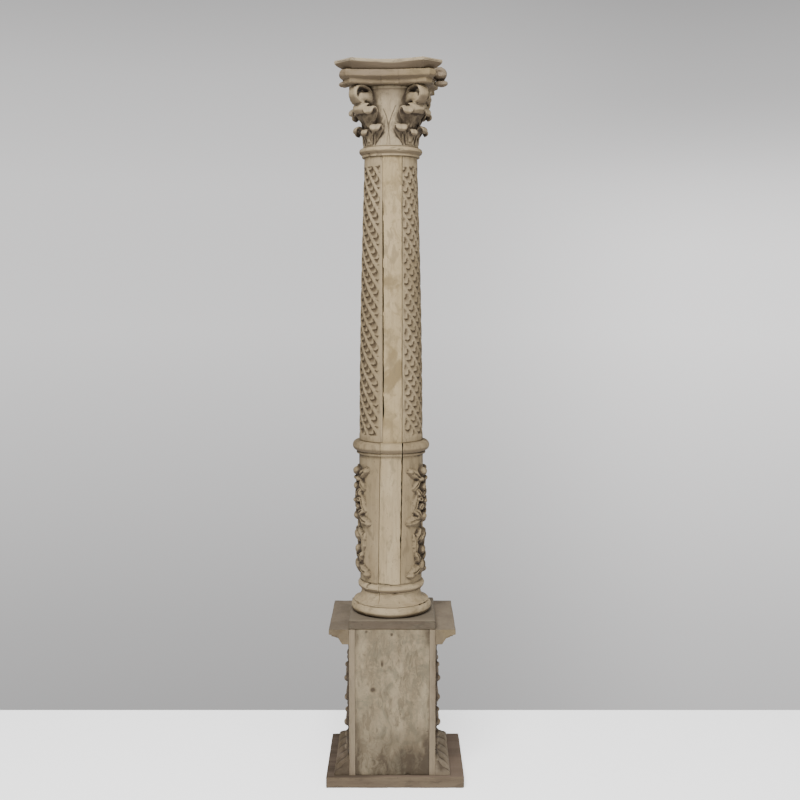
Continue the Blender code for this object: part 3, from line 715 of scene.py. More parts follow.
DROP_FLOWER = (5, 90, 22, 273, 15, 10, 0.80)
PANEL_MIDDLE = ((0.0, 0.66, 0.105, 0.105, 0.80, 0, "b"), (0.0, 0.14, 0.13, 0.085, 0.72, 90, "l"),
                (0.0, 0.90, 0.13, 0.075, 0.60, 0, "l"), (0.0, 0.40, 0.11, 0.080, 0.85, 90, "l"))
PANEL_PAIRS = ((0.36, 0.90, 0.15, 0.065, 0.62, 0, 24, "l"), (0.38, 0.76, 0.12, 0.060, 0.86, 0, 64, "l"),
               (0.39, 0.58, 0.13, 0.065, 0.78, 0, 100, "l"), (0.30, 0.46, 0.15, 0.060, 0.66, 0, 35, "l"),
               (0.38, 0.36, 0.13, 0.065, 0.92, 0, 80, "l"), (0.24, 0.26, 0.15, 0.060, 0.66, 0, 48, "l"),
               (0.37, 0.15, 0.14, 0.065, 0.84, 0, 106, "l"), (0.28, 0.045, 0.17, 0.060, 0.60, 0, 8, "l"))
PANEL_PAIRS += tuple((0.405, v, size, size * 0.85, up, 0, 0, "b") for v, size, up in (
    (0.82, 0.050, 0.80), (0.70, 0.060, 0.98), (0.53, 0.052, 0.90), (0.41, 0.045, 0.78), (0.30, 0.062, 1.00),
    (0.19, 0.048, 0.85), (0.08, 0.055, 0.92)))
PANEL_FLOWER = (6, 30, 0.20, 0.66, 0.12, 0.075, 0.70)


def lump_rows(middle, pairs, flower, w, h):
    """All lumps of one relief, scaled to a field of width w and height h."""
    rows = list(middle)
    petals, turn, reach, centre, half_a, half_b, share = flower
    for k in range(petals):
        a = math.radians(turn + 360 // petals * k)
        rows.append((reach * math.cos(a), centre + reach * math.sin(a) * w / h, half_a, half_b, share,
                     math.degrees(a), "p"))
    for s in (-1, 1):
        rows += [(s * u, v, a, b, k, fixed + s * lean, kind) for u, v, a, b, k, fixed, lean, kind in pairs]
    return [(u * w, v * h, a * w, b * w, k, math.radians(t), kind) for u, v, a, b, k, t, kind in rows]


def raised(lumps, u, v, height):
    """Relief at arrays u, v above the ground: buds are round, leaves pointed and ribbed, petals cupped."""
    flat = np.stack([u.ravel(), v.ravel(), np.zeros(u.size)], 1)
    u = u + (0.0030 * noise(flat, 0.020, 301) + 0.0012 * noise(flat, 0.008, 303)).reshape(u.shape)
    v = v + (0.0030 * noise(flat, 0.020, 305) + 0.0012 * noise(flat, 0.008, 307)).reshape(v.shape)
    best = np.zeros_like(u)
    for cu, cv, a, b, k, t, kind in lumps:
        du = u - cu
        dv = v - cv
        near = (np.abs(du) < max(a, b) * 1.3) & (np.abs(dv) < max(a, b) * 1.3)
        if not near.any():
            continue
        p = (du * math.cos(t) + dv * math.sin(t)) / a
        q = (-du * math.sin(t) + dv * math.cos(t)) / b
        if kind == "l":
            q = q / (1.12 - 0.34 * p) * (1 + 0.20 * np.abs(np.sin(p * 4.6 + 0.6)))
        e = 1 - p * p - q * q
        h = k * height * np.clip(e, 0, 1) ** 0.42
        if kind == "l":
            h = h * (0.78 + 0.22 * np.clip(p, -1, 1))
            h = h * (1 - 0.42 * np.exp(-(q / 0.20) ** 2) * smooth(1.0, 0.6, np.abs(p)))
        elif kind == "p":
            h = h * (1 - 0.50 * np.exp(-((p - 0.1) ** 2 / 0.25 + q * q / 0.20)))
        best = np.where(near & (e > 0), np.maximum(best, h), best)
    return best


DROPS = lump_rows(DROP_MIDDLE, DROP_PAIRS, DROP_FLOWER, 0.001, 0.001)


def drum_relief(a, z):
    v = np.full_like(a, z - Z_DRUM)
    out = np.zeros_like(a)
    for centre in DROP_AZ:
        d = (np.degrees(a) - centre + 180) % 360 - 180
        u = np.radians(d) * DRUM_R_TOP
        out = np.maximum(out, np.where(np.abs(u) < 0.076, raised(DROPS, u, v, DROP_H), 0))
    return out


def drum_levels(rows):
    t = np.linspace(0, 1, rows + 1)
    levels = [(DRUM_R_LOW + (DRUM_R_TOP - DRUM_R_LOW) * k, Z_DRUM + DRUM_H * k, True) for k in t]
    z0 = Z_DRUM + DRUM_H
    levels += [(RING_FILLET_R - 0.0008, z0 + 0.0004, False), (RING_FILLET_R, z0 + 0.0014, False),
               (RING_FILLET_R, z0 + RING_FILLET_H - 0.0006, False)]
    for r, z in bead(RING_R, RING_H - 0.0013, z0 + RING_FILLET_H + 0.001, 0.016, 16):
        levels.append((r, z, False))
    return levels


def drum_seams(z):
    t = (z - Z_DRUM) / DRUM_H
    return (DRUM_SEAM_LEFT[0] + (DRUM_SEAM_LEFT[1] - DRUM_SEAM_LEFT[0]) * t,
            DRUM_SEAM_RIGHT[0] + (DRUM_SEAM_RIGHT[1] - DRUM_SEAM_RIGHT[0]) * t)


def make_drum():
    cols = 300
    levels = drum_levels(200)
    carved = {z: c for r, z, c in levels}
    heights = []

    def reach(a, r, z):
        d = drum_relief(a, z) if carved[z] else np.zeros_like(a)
        heights.append(d)
        return r + d

    rings = open_rings([(r, z) for r, z, c in levels], reach, DRUM_BORE_R, drum_seams, cols, 8)
    obj = loft("drum_carving", rings, fan=False)
    roughen(obj, 0.0006, (0.03, 0.03, 0.03), 51)
    p = coords(obj)
    # Painted shade in the hollows of the carving, less on the ring, with the flank shade and grime
    hollow_dirt(obj, reach=0.022, rays=9, extra=flank_shade_and_grime(p, 0.20),
                gain=np.where(p[:, 2] > Z_DRUM + DRUM_H - 0.004, 0.6, 1.6))
    return settle(obj, "drum")


def make_drum_stave():
    crack_top = picture_z(458, 0.10)
    crack_low = picture_z(556, 0.10)
    ring_low = Z_DRUM + DRUM_H

    def seams(z):
        left, right = drum_seams(z)
        wide = 0.0028 * float(smooth(crack_low - 0.03, crack_low + 0.05, z))
        if z > crack_top:
            wide = 0.0008 if z < ring_low else 0.0024
        wide *= 1 + 0.6 * wander(z, 0.012, 61)
        return left + 0.0009, right - 0.0007 - wide

    levels = [(r, z) for r, z, c in drum_levels(150)]
    rings = stave_rings(levels, seams, lambda r: DRUM_BORE_R + 0.004, 26)
    x = rings[0, :, 0] - AXIS_X
    rings[0, :, 2] += 0.0060 * smooth(0.006, -0.030, x)
    obj = loft("drum_stave_wood", rings)
    return weather(obj, 0.0005, (0.02, 0.02, 0.10), 63, 50, "drum_stave")


# Capital: bell, corner leaves and corner scrolls, worked round the axis and then turned
BELL_H = Z_LOW_PLATE - Z_BELL
BELL_R_LOW = 0.0915
BELL_R_MID = 0.0860
BELL_R_TOP = 0.0985
BELL_LIP_H = 0.012


def place_capital(obj):
    p = coords(obj)
    c = math.cos(CAPITAL_TURN)
    s = math.sin(CAPITAL_TURN)
    set_coords(obj, np.stack([AXIS_X + p[:, 0] * c - p[:, 1] * s, AXIS_Y + p[:, 0] * s + p[:, 1] * c,
                              Z_BELL + p[:, 2]], 1))
    return obj


def rounded_section(count, fold=0.0, power=0.75):
    """Flat rounded section as (across, through). fold sinks a groove along the middle of the outer side."""
    out = []
    for k in range(count):
        a = 2 * math.pi * k / count
        u = math.copysign(abs(math.cos(a)) ** power, math.cos(a))
        v = math.sin(a)
        v -= fold * math.exp(-(u / 0.22) ** 2) * (1 if v > 0 else 0.4)
        out.append((u, v))
    return out


def around(az, reach, across, z):
    """Point in direction az at a reach from the axis, moved across."""
    return (reach * math.sin(az) + across * math.cos(az), -reach * math.cos(az) + across * math.sin(az), z)


def strip(path, section):
    """Path rows: reach from the axis, height, half width, half thickness, azimuth, sag of the two edges."""
    path = np.asarray(path, float)
    t = np.gradient(path[:, :2], axis=0)
    t /= np.maximum(np.linalg.norm(t, axis=1), 1e-9)[:, None]
    rings = []
    for (rho, z, w, th, az, sag), (tx, tz) in zip(path, t):
        ring = []
        for u, v in section:
            reach = rho - tz * v * th - sag * u * u
            ring.append(around(az, reach, u * w, z + tx * v * th))
        rings.append(ring)
    return np.array(rings)


def ease_path(keys, steps):
    """Smooth curve through key rows by Catmull-Rom."""
    k = np.asarray(keys, float)
    k = np.vstack([2 * k[0] - k[1], k, 2 * k[-1] - k[-2]])
    out = []
    for i in range(1, len(k) - 2):
        for s in range(steps):
            t = s / steps
            out.append(0.5 * ((2 * k[i]) + (-k[i - 1] + k[i + 1]) * t
                              + (2 * k[i - 1] - 5 * k[i] + 4 * k[i + 1] - k[i + 2]) * t * t
                              + (-k[i - 1] + 3 * k[i] - 3 * k[i + 1] + k[i + 2]) * t ** 3))
    out.append(k[-2])
    return np.array(out)


def taper(path, head, tail):
    """Round off both ends so that the strip closes softly."""
    p = np.array(path, float)
    for i in range(head):
        p[i, 2:4] *= math.sqrt(1 - (1 - (i + 0.4) / head) ** 2)
    for i in range(tail):
        p[-1 - i, 2:4] *= math.sqrt(1 - (1 - (i + 0.4) / tail) ** 2)
    return p


def ribbon(keys, steps, head, tail, section):
    return strip(taper(ease_path(keys, steps), head, tail), section)


def lobe(foot, tip, w, th, az0, az1, curl_r, sweep=235, cup=0.0):
    """A leaf lobe that hugs the bell, leans out and turns over at its tip. cup brings its edges forward."""
    steps = 18
    rc = tip[0] - curl_r - th
    path = []
    for k in range(12):
        t = k / 12
        lean = t ** 2.4
        path.append((foot[0] + (rc - curl_r - foot[0]) * lean, foot[1] + (tip[1] - foot[1]) * t,
                     w * (0.35 + 0.65 * t ** 0.8), th * (0.75 + 0.25 * t), az0 + (az1 - az0) * t, -cup * t))
    for k in range(steps + 1):
        s = k / steps
        a = math.pi - math.radians(sweep) * s
        r = curl_r * (1 - 0.35 * s)
        path.append((rc + r * math.cos(a), tip[1] + r * math.sin(a), w * (1 - 0.30 * s * s),
                     th * (1 + 0.30 * s), az1, 0.0015 * s - cup))
    return taper(path, 1, 4)


SMOOTH_SECTION = rounded_section(16)
LEAF_SECTION = rounded_section(24, fold=0.22)
BAND_SECTION = rounded_section(20, power=0.5)

# Corner scroll: centre, radius of its band and the roll it ends in
SCROLL_OUT = 0.1350
SCROLL_Z = 0.1645
SCROLL_R = 0.0262
SCROLL_W = 0.038
ROLL_R = 0.0184
ROLL_OUT = 0.1335
ROLL_Z = 0.1508

# Corner leaf: the hood that its tip makes
HOOD_OUT = 0.1325
HOOD_Z = 0.1165
HOOD_R = 0.0145


def corner_solids(az):
    low = BELL_R_LOW
    out = []
    keys = [(low - 0.0060, 0.0020, 0.028, 0.0060, az, 0.006),
            (low - 0.0035, 0.026, 0.029, 0.0070, az, 0.006),
            (low + 0.0010, 0.052, 0.018, 0.0070, az, 0.003),
            (low + 0.0080, 0.076, 0.013, 0.0070, az, 0.001),
            (low + 0.0190, 0.096, 0.017, 0.0068, az, 0.002)]
    for k in range(10):
        a = math.radians(152 - 232 * k / 9)
        r = HOOD_R * (1 - 0.12 * k / 9)
        keys.append((HOOD_OUT + r * math.cos(a), HOOD_Z + r * math.sin(a),
                     0.029 + 0.007 * math.sin(math.pi * min(1, k / 6)), 0.0048, az,
                     0.006 + 0.007 * min(1, k / 5)))
    out.append(ribbon(keys, 4, 1, 5, LEAF_SECTION))
    middle = lobe((low + 0.002, 0.014), (0.1235, 0.042), 0.0165, 0.0048, az, az, 0.0095)
    out.append(strip(middle, LEAF_SECTION))
    for s in (-1, 1):
        lower = lobe((low - 0.004, 0.010), (0.1275, 0.0530), 0.0215, 0.0050, az + s * 0.20, az + s * 0.42,
                     0.0120, cup=0.0050)
        upper = lobe((low + 0.003, 0.050), (0.1455, 0.1060), 0.0215, 0.0050, az + s * 0.10, az + s * 0.31,
                     0.0155, sweep=225, cup=0.0065)
        out += [strip(lower, LEAF_SECTION), strip(upper, LEAF_SECTION)]
        for foot, head, up in ((0.27, 0.33, 0.044), (0.15, 0.22, 0.052), (0.06, 0.14, 0.095)):
            vein = [(low - 0.0005, 0.004, 0.0022, 0.0030, az + s * foot, 0),
                    (low + 0.0035, up * 0.5, 0.0026, 0.0036, az + s * (foot + head) / 2, 0),
                    (low + 0.0085, up, 0.0018, 0.0030, az + s * head, 0)]
            out.append(ribbon(vein, 8, 2, 4, SMOOTH_SECTION))
    out.append(ribbon(scroll_keys(az), 4, 1, 2, BAND_SECTION))
    out.append(roll_solid(az, ROLL_OUT, ROLL_Z, SCROLL_W * 0.53, ROLL_R))
    web = [(0.076, 0.149, 0.0150, 0.0220, az, 0), (0.096, 0.1545, 0.0170, 0.0215, az, 0),
           (0.112, 0.1550, 0.0180, 0.0180, az, 0), (0.128, 0.1525, 0.0190, 0.0150, az, 0)]
    out.append(strip(ease_path(web, 5), BAND_SECTION))
    return out


def scroll_keys(az):
    keys = [(0.082, 0.158, 0.0150, 0.0055, az, 0), (0.094, 0.174, 0.0165, 0.0055, az, 0),
            (0.110, 0.1855, 0.0180, 0.0052, az, 0)]
    for k in range(11):
        a = math.radians(112 - 22.5 * k)
        keys.append((SCROLL_OUT + SCROLL_R * math.cos(a), SCROLL_Z + SCROLL_R * math.sin(a) - 0.0006,
                     SCROLL_W / 2, 0.0050 + 0.0003 * k, az, 0))
    return keys


def roll_solid(az, rho, z, half_w, r):
    """Short rounded roll lying across the corner, the inner end of the scroll."""
    rings = []
    for k in range(17):
        t = -1 + 2 * k / 16
        edge = math.sqrt(max(0.02, 1 - abs(t) ** 5))
        ring = []
        for j in range(24):
            a = 2 * math.pi * j / 24
            reach = rho + r * edge * math.cos(a)
            ring.append(around(az, reach, t * half_w, z + r * edge * math.sin(a)))
        rings.append(ring)
    return np.array(rings)


def join(name, objects):
    for o in bpy.context.selected_objects:
        o.select_set(False)
    for o in objects:
        o.select_set(True)
    bpy.context.view_layer.objects.active = objects[0]
    bpy.ops.object.join()
    objects[0].name = name
    objects[0].data.name = name
    return objects[0]


def melt(obj, voxel, passes, share=1.0):
    """One skin over overlapping solids, softened like worn carving; share of its faces that is kept."""
    mod = obj.modifiers.new("skin", "REMESH")
    mod.mode = "VOXEL"
    mod.voxel_size = voxel
    soft = obj.modifiers.new("soft", "SMOOTH")
    soft.factor = 0.5
    soft.iterations = passes
    if share < 1:
        obj.modifiers.new("thin", "DECIMATE").ratio = share
    apply_modifiers(obj)
    obj.data.polygons.foreach_set("use_smooth", [True] * len(obj.data.polygons))
    return obj


def line_cut(a, z, points, width, depth):
    """Depth of a scored line through (angle, height) points, on arrays of angle and height."""
    best = np.full_like(a, 9.0)
    for (a0, z0), (a1, z1) in zip(points[:-1], points[1:]):
        ax, ay = a0 * BELL_R_MID, z0
        bx, by = a1 * BELL_R_MID, z1
        px, py = a * BELL_R_MID, z
        length = (bx - ax) ** 2 + (by - ay) ** 2
        t = np.clip(((px - ax) * (bx - ax) + (py - ay) * (by - ay)) / length, 0, 1)
        best = np.minimum(best, np.hypot(px - ax - t * (bx - ax), py - ay - t * (by - ay)))
    return -depth * np.exp(-(best / width) ** 2)


# Scored stem lines on the faces of the bell, as (angle in radians, height in metres)
BELL_LINE_WIDTH = 0.0016
BELL_LINE_DEPTH = 0.0017
BELL_LINES = (((-0.082, 0.003), (-0.060, 0.030), (-0.010, 0.045), (-0.010, 0.066), (-0.110, 0.095),
               (-0.216, 0.117)),
              ((0.020, 0.003), (0.020, 0.030), (-0.010, 0.045)),
              ((-0.010, 0.066), (0.100, 0.095), (0.255, 0.127)))


def bell_solid():
    prof = [(BELL_R_LOW, 0.0003), (BELL_R_LOW + 0.0005, 0.003), (BELL_R_LOW - 0.0005, 0.008)]
    for k in range(1, 90):
        t = k / 90
        z = 0.008 + (BELL_H - BELL_LIP_H - 0.008) * t
        r = BELL_R_MID + (BELL_R_LOW - BELL_R_MID) * max(0.0, 1 - t / 0.3) ** 1.6
        r += (BELL_R_TOP - 0.002 - BELL_R_MID) * max(0.0, (t - 0.62) / 0.38) ** 2.2
        prof.append((r, z))
    z = BELL_H - BELL_LIP_H
    prof += [(BELL_R_TOP - 0.0015, z), (BELL_R_TOP - 0.0002, z + 0.002), (BELL_R_TOP, z + 0.005),
             (BELL_R_TOP - 0.0008, BELL_H - 0.003), (BELL_R_TOP - 0.0030, BELL_H - 0.0004)]
    angles = np.linspace(0, 2 * math.pi, 480, endpoint=False)
    rings = []
    scored = []
    for r, z in prof:
        zz = np.full_like(angles, z)
        cut = np.zeros_like(angles)
        for face in range(4):
            a = (angles - face * math.pi / 2 + math.pi) % (2 * math.pi) - math.pi
            lines = np.zeros_like(a)
            for pts in BELL_LINES:
                lines = np.minimum(lines, line_cut(a, zz, pts, BELL_LINE_WIDTH, BELL_LINE_DEPTH))
            cut += np.where(np.abs(a) < 0.6, lines, 0)
        rr = r + cut
        scored.append(-cut / BELL_LINE_DEPTH)
        rings.append(ring_at(angles, rr, z, 0, 0))
    return np.array(rings), np.array(scored).reshape(-1)


def fleuron_solids(az, out, z, size):
    """Flower bud and tongue in the middle of a carved side of the abacus."""
    solids = []
    bud = (out - 0.022 * size, z + 0.001, 0.024 * size, 0.029 * size, 0.0215 * size)
    tongue = (out - 0.018 * size, z - 0.030, 0.023 * size, 0.017 * size, 0.010)
    for rho, height, half_r, half_w, half_h in (bud, tongue):
        rings = []
        for k in range(1, 18):
            b = -math.pi / 2 + math.pi * k / 18
            ring = []
            for j in range(28):
                a = 2 * math.pi * j / 28
                petal = 1 + 0.13 * math.cos(5 * a)
                across = half_w * math.cos(b) * math.cos(a) * petal
                up = half_h * math.cos(b) * math.sin(a) * petal
                reach = rho + half_r * math.sin(b)
                ring.append(around(az, reach, across, height + up))
            rings.append(ring)
        solids.append(np.array(rings))
    return solids


def helix_solids(az):
    """Pair of small scrolls that meet under the flower on a carved side."""
    out = []
    for s in (-1, 1):
        keys = [(0.085, 0.090, 0.010, 0.005, az + s * 0.33, 0),
                (0.093, 0.125, 0.011, 0.005, az + s * 0.28, 0),
                (0.104, 0.155, 0.012, 0.005, az + s * 0.22, 0)]
        for k in range(9):
            a = math.radians(150 - 36 * k)
            r = 0.0150 * (1 - 0.55 * k / 8)
            keys.append((0.120 + r * math.cos(a), 0.160 + r * math.sin(a), 0.012, 0.0045, az + s * 0.17, 0))
        out.append(ribbon(keys, 4, 1, 3, SMOOTH_SECTION))
    stem = [(0.088, 0.010, 0.007, 0.005, az, 0), (0.092, 0.080, 0.008, 0.005, az, 0),
            (0.104, 0.140, 0.010, 0.006, az, 0), (0.122, 0.172, 0.014, 0.008, az, 0),
            (0.134, 0.186, 0.012, 0.006, az, 0)]
    out.append(ribbon(stem, 7, 1, 4, LEAF_SECTION))
    return out


def make_capital():
    parts = [loft("leaf", rings) for az in (45, 135, 225, 315) for rings in corner_solids(math.radians(az))]
    parts += [loft("helix", rings) for az in (90, 180, 270) for rings in helix_solids(math.radians(az))]
    leaves = join("capital_leaves", parts)
    bell_rings, scored = bell_solid()
    bell = loft("capital_bell", bell_rings)
    melt(leaves, voxel=0.0016, passes=1, share=0.48)
    place_capital(leaves)
    place_capital(bell)
    roughen(leaves, 0.0007, (0.012, 0.012, 0.012), 71)
    roughen(bell, 0.0006, (0.02, 0.02, 0.04), 72)
    up = coords(leaves)[:, 2] - Z_BELL
    # Painted shade in the hollows of leaves and bell, weaker round the scrolls; the scored lines on the bell
    # are darkened as painted shade too
    hollow_dirt(leaves, reach=0.045, rays=10, also=[bell], gain=1.92 - 1.02 * smooth(0.118, 0.140, up))
    lines = np.append(scored, [0, 0]) * 0.19
    hollow_dirt(bell, reach=0.050, rays=10, also=[leaves], extra=lines, gain=1.3)
    settle(leaves, "capital")
    settle(bell, "capital")
    return leaves, bell


# Abacus of two plates
LOW_PLATE_A = 0.133
LOW_PLATE_B = 0.152
LOW_PLATE_MID = 0.136
LOW_PLATE_STEP = 0.012
JOINT_COLUMNS = (381.0, 398.6)
JOINT_REACH = 0.135
TOP_PLATE_A = 0.115
TOP_PLATE_B = 0.173
TOP_PLATE_MID = 0.139


def plate_ring(a, b, mid, z):
    """Outline of a plate with hollowed sides and cut corners."""
    steps = 64
    corner_steps = 8
    pts = []
    for q in range(4):
        c = math.cos(q * math.pi / 2 + CAPITAL_TURN)
        s = math.sin(q * math.pi / 2 + CAPITAL_TURN)
        side = [(-a + 2 * a * i / steps) for i in range(steps + 1)]
        line = [(x, -mid - (b - mid) * (x / a) ** 2) for x in side]
        cut = [(b - a) * k / corner_steps for k in range(1, corner_steps)]
        line += [(a + d, -b + d) for d in cut]
        for x, y in line:
            pts.append((AXIS_X + x * c - y * s, AXIS_Y + x * s + y * c, z))
    return pts


def lower_plate_solid():
    z = Z_LOW_PLATE
    h = Z_TOP_PLATE - GAP - z
    step = LOW_PLATE_STEP
    rows = [(step + 0.0015, 0.0, 0.008), (step, 0.0012, 0.008), (step - 0.0008, 0.006, 0.008),
            (step, 0.0125, 0.0075), (step - 0.001, 0.0155, 0.006), (0.0065, 0.0178, 0.003),
            (0.0028, 0.0195, 0.001), (0.0006, 0.0215, 0.0), (0.0, 0.0235, 0.0), (0.0, 0.030, 0.0),
            (0.0002, 0.037, 0.0), (0.0010, h - 0.0012, 0.0), (0.0022, h, 0.0)]
    rings = np.array([plate_ring(LOW_PLATE_A - d, LOW_PLATE_B - d, LOW_PLATE_MID - d - m, z + up)
                      for d, up, m in rows])
    front = (rings[:, :, 1] - AXIS_Y) < -0.10
    joint = np.zeros(front.shape)
    for px in JOINT_COLUMNS:
        near = np.where(front, np.exp(-((rings[:, :, 0] - picture_x(px, JOINT_REACH)) / 0.0022) ** 2), 0)
        rings[:, :, 1] += 0.0024 * near
        joint += 0.30 * near
    plates = loft("abacus_lower_wood", rings)
    attribute(plates, "dirt", np.append(joint, [0, 0]))
    roughen(plates, 0.0009, (0.025, 0.025, 0.012), 81)
    sharp_by_angle(plates, 40)
    return plates


# Flowers of the abacus: azimuth, reach and size
FLOWERS = ((90, 0.183, 1.0), (180, 0.178, 1.0), (270, 0.168, 0.86))


def flower_solid(plates):
    buds = []
    for az, out, size in FLOWERS:
        for solid in fleuron_solids(math.radians(az), out, Z_TOP_PLATE + 0.006 - Z_BELL, size):
            buds.append(loft("bud", solid))
    flowers = melt(join("abacus_flowers", buds), voxel=0.0022, passes=2)
    place_capital(flowers)
    roughen(flowers, 0.0024, (0.018, 0.018, 0.018), 83)
    # Painted shade in the hollows of the flowers
    hollow_dirt(flowers, reach=0.02, rays=8, also=[plates])
    return flowers


def top_plate_solid():
    z = Z_TOP_PLATE
    h = Z_TOP - z
    cove = h - 0.008
    rings = []
    for k in range(13):
        t = k / 12
        deep = (1 - t) ** 1.6
        rings.append(plate_ring(TOP_PLATE_A - 0.004 * deep, TOP_PLATE_B - 0.034 * deep,
                                TOP_PLATE_MID - 0.013 * deep, z + cove * t))
    for d, up in ((0.0, cove + 0.0012), (-0.0006, cove + 0.003), (0.0, h - 0.0014), (0.0012, h)):
        rings.append(plate_ring(TOP_PLATE_A - d, TOP_PLATE_B - d, TOP_PLATE_MID - d, z + up))
    top = loft("abacus_top_wood", rings)
    roughen(top, 0.0010, (0.03, 0.03, 0.012), 85)
    sharp_by_angle(top, 36)
    return top


def make_abacus():
    plates = lower_plate_solid()
    flowers = flower_solid(plates)
    top = top_plate_solid()
    settle(plates, "abacus_lower_plate")
    settle(flowers, ["abacus_lower_plate", "abacus_top_plate"])
    settle(top, "abacus_top_plate")
    return plates, flowers, top


# Pedestal
def rounded_box(name, low, high, edge, cell, seed, chips):
    """Box of fine cells with worn edges. chips is how far odd spots of the arrises are broken away."""
    axes = []
    for a, b in zip(low, high):
        inner = np.linspace(a + edge, b - edge, max(2, int(round((b - a) / cell)) + 1))
        axes.append(np.concatenate([[a, a + edge * 0.35], inner, [b - edge * 0.35, b]]))
    verts = {}
    points = []
    faces = []

    def vert(i, j, k):
        key = (i, j, k)
        if key not in verts:
            verts[key] = len(points)
            points.append((axes[0][i], axes[1][j], axes[2][k]))
        return verts[key]

    n = [len(a) - 1 for a in axes]
    for axis in range(3):
        u, v = [d for d in range(3) if d != axis]
        for side in (0, n[axis]):
            for i in range(n[u]):
                for j in range(n[v]):
                    quad = []
                    for di, dj in ((0, 0), (1, 0), (1, 1), (0, 1)):
                        idx = [0, 0, 0]
                        idx[axis] = side
                        idx[u] = i + di
                        idx[v] = j + dj
                        quad.append(vert(*idx))
                    faces.append(quad)
    p = np.array(points)
    lo = np.array(low, float)
    hi = np.array(high, float)
    broken = np.clip(noise(p, 0.022, seed + 3) - 0.45, 0, 1)
    size = edge * (1 + (chips / edge) * broken)
    core = np.clip(p, lo + edge, hi - edge)
    d = p - core
    length = np.linalg.norm(d, axis=1)
    on_edge = (np.abs(d) > 1e-9).sum(1) > 1
    scale = np.where(on_edge & (length > 1e-9), edge / np.maximum(length, 1e-9), 1.0)
    p = core + d * scale[:, None]
    near = np.clip(length / (edge * 1.41), 0, 1) * on_edge
    p = p - d / np.maximum(length, 1e-9)[:, None] * ((size - edge) * near)[:, None]
    obj = mesh_object(name, p, faces)
    rework(obj, face_out)
    return obj


def make_box(node, edge, cell, wear, seed, chips=0.0):
    low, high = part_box(node)
    obj = rounded_box(node + "_wood", low, high, edge, cell, seed, chips)
    return weather(obj, wear, (0.05, 0.05, 0.03), seed, 60, node)


def make_plinth():
    """Square block under the turned base, softened along its arrises."""
    return make_box("plinth", edge=0.0045, cell=0.008, wear=0.0008, seed=91, chips=0.004)


# Marks in the rear panel: picture point, half width, half height, depth
PANEL_MARKS = ((365.4, 631.9, 0.0035, 0.0035, 0.0012), (391.4, 634.7, 0.0035, 0.0045, 0.0016),
               (381.6, 664.2, 0.0045, 0.0120, 0.0040), (372.0, 690.0, 0.0100, 0.0090, 0.0012),
               (408.0, 775.0, 0.0050, 0.0060, 0.0040), (434.0, 668.0, 0.0040, 0.0060, 0.0020))


def make_panel():
    """Rear panel with nail holes, a slot and a broken spot at the foot, darker towards foot and edges."""
    obj = make_box("rear_panel", edge=0.0012, cell=0.0032, wear=0.0007, seed=93)
    low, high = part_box("rear_panel")
    p = coords(obj)
    edge = np.minimum(p[:, 0] - low[0], high[0] - p[:, 0])
    dark = 0.34 * smooth(0.30, 0.0, p[:, 2] - low[2]) ** 0.85 + 0.16 * smooth(0.030, 0.0, edge)
    dark += 0.16 * smooth(0.09, 0.0, high[2] - p[:, 2])
    dark += 0.09 * smooth(0.16, 0.0, np.hypot(p[:, 0] - high[0], (p[:, 2] - low[2]) * 0.8))
    dark *= 1 + 0.25 * noise(p, 0.050, 94) + 0.30 * noise(p, (0.012, 0.02, 0.030), 96)
    for px, py, half_w, half_h, deep in PANEL_MARKS:
        x = picture_x(px, AXIS_Y - low[1])
        z = picture_z(py, AXIS_Y - low[1])
        near = np.exp(-((p[:, 0] - x) / half_w) ** 2 - ((p[:, 2] - z) / half_h) ** 2)
        near = near * (p[:, 1] < low[1] + 0.004)
        p[:, 1] += deep * near
        dark += 0.55 * near
    set_coords(obj, p)
    attribute(obj, "dirt", dark)
    return obj


# Pedestal sizes
DIE_W = 0.2885
DIE_D = 0.296
DIE_SHIFT_X = -0.0095
SIDE_T = 0.020
FACE_T = 0.022
RELIEF_H = 0.018
RELIEF_MARGIN = 0.014
DIE_Y0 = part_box("side_board_left")[0][1]
DIE_Y1 = DIE_Y0 + DIE_D
FOOT_H = 0.052
FOOT_OUT = 0.050
FOOT_LIP_H = 0.009
FOOT_TOP_OUT = 0.010
FOOT_PITCH = 0.0592
FOOT_SLANT = -0.075
FOOT_DEPTH = 0.0085
CAP_H = 0.050
CAP_OUT = 0.066
CAP_FASCIA_H = 0.017
CAP_STEP = 0.009
CAP_LOW_OUT = 0.022


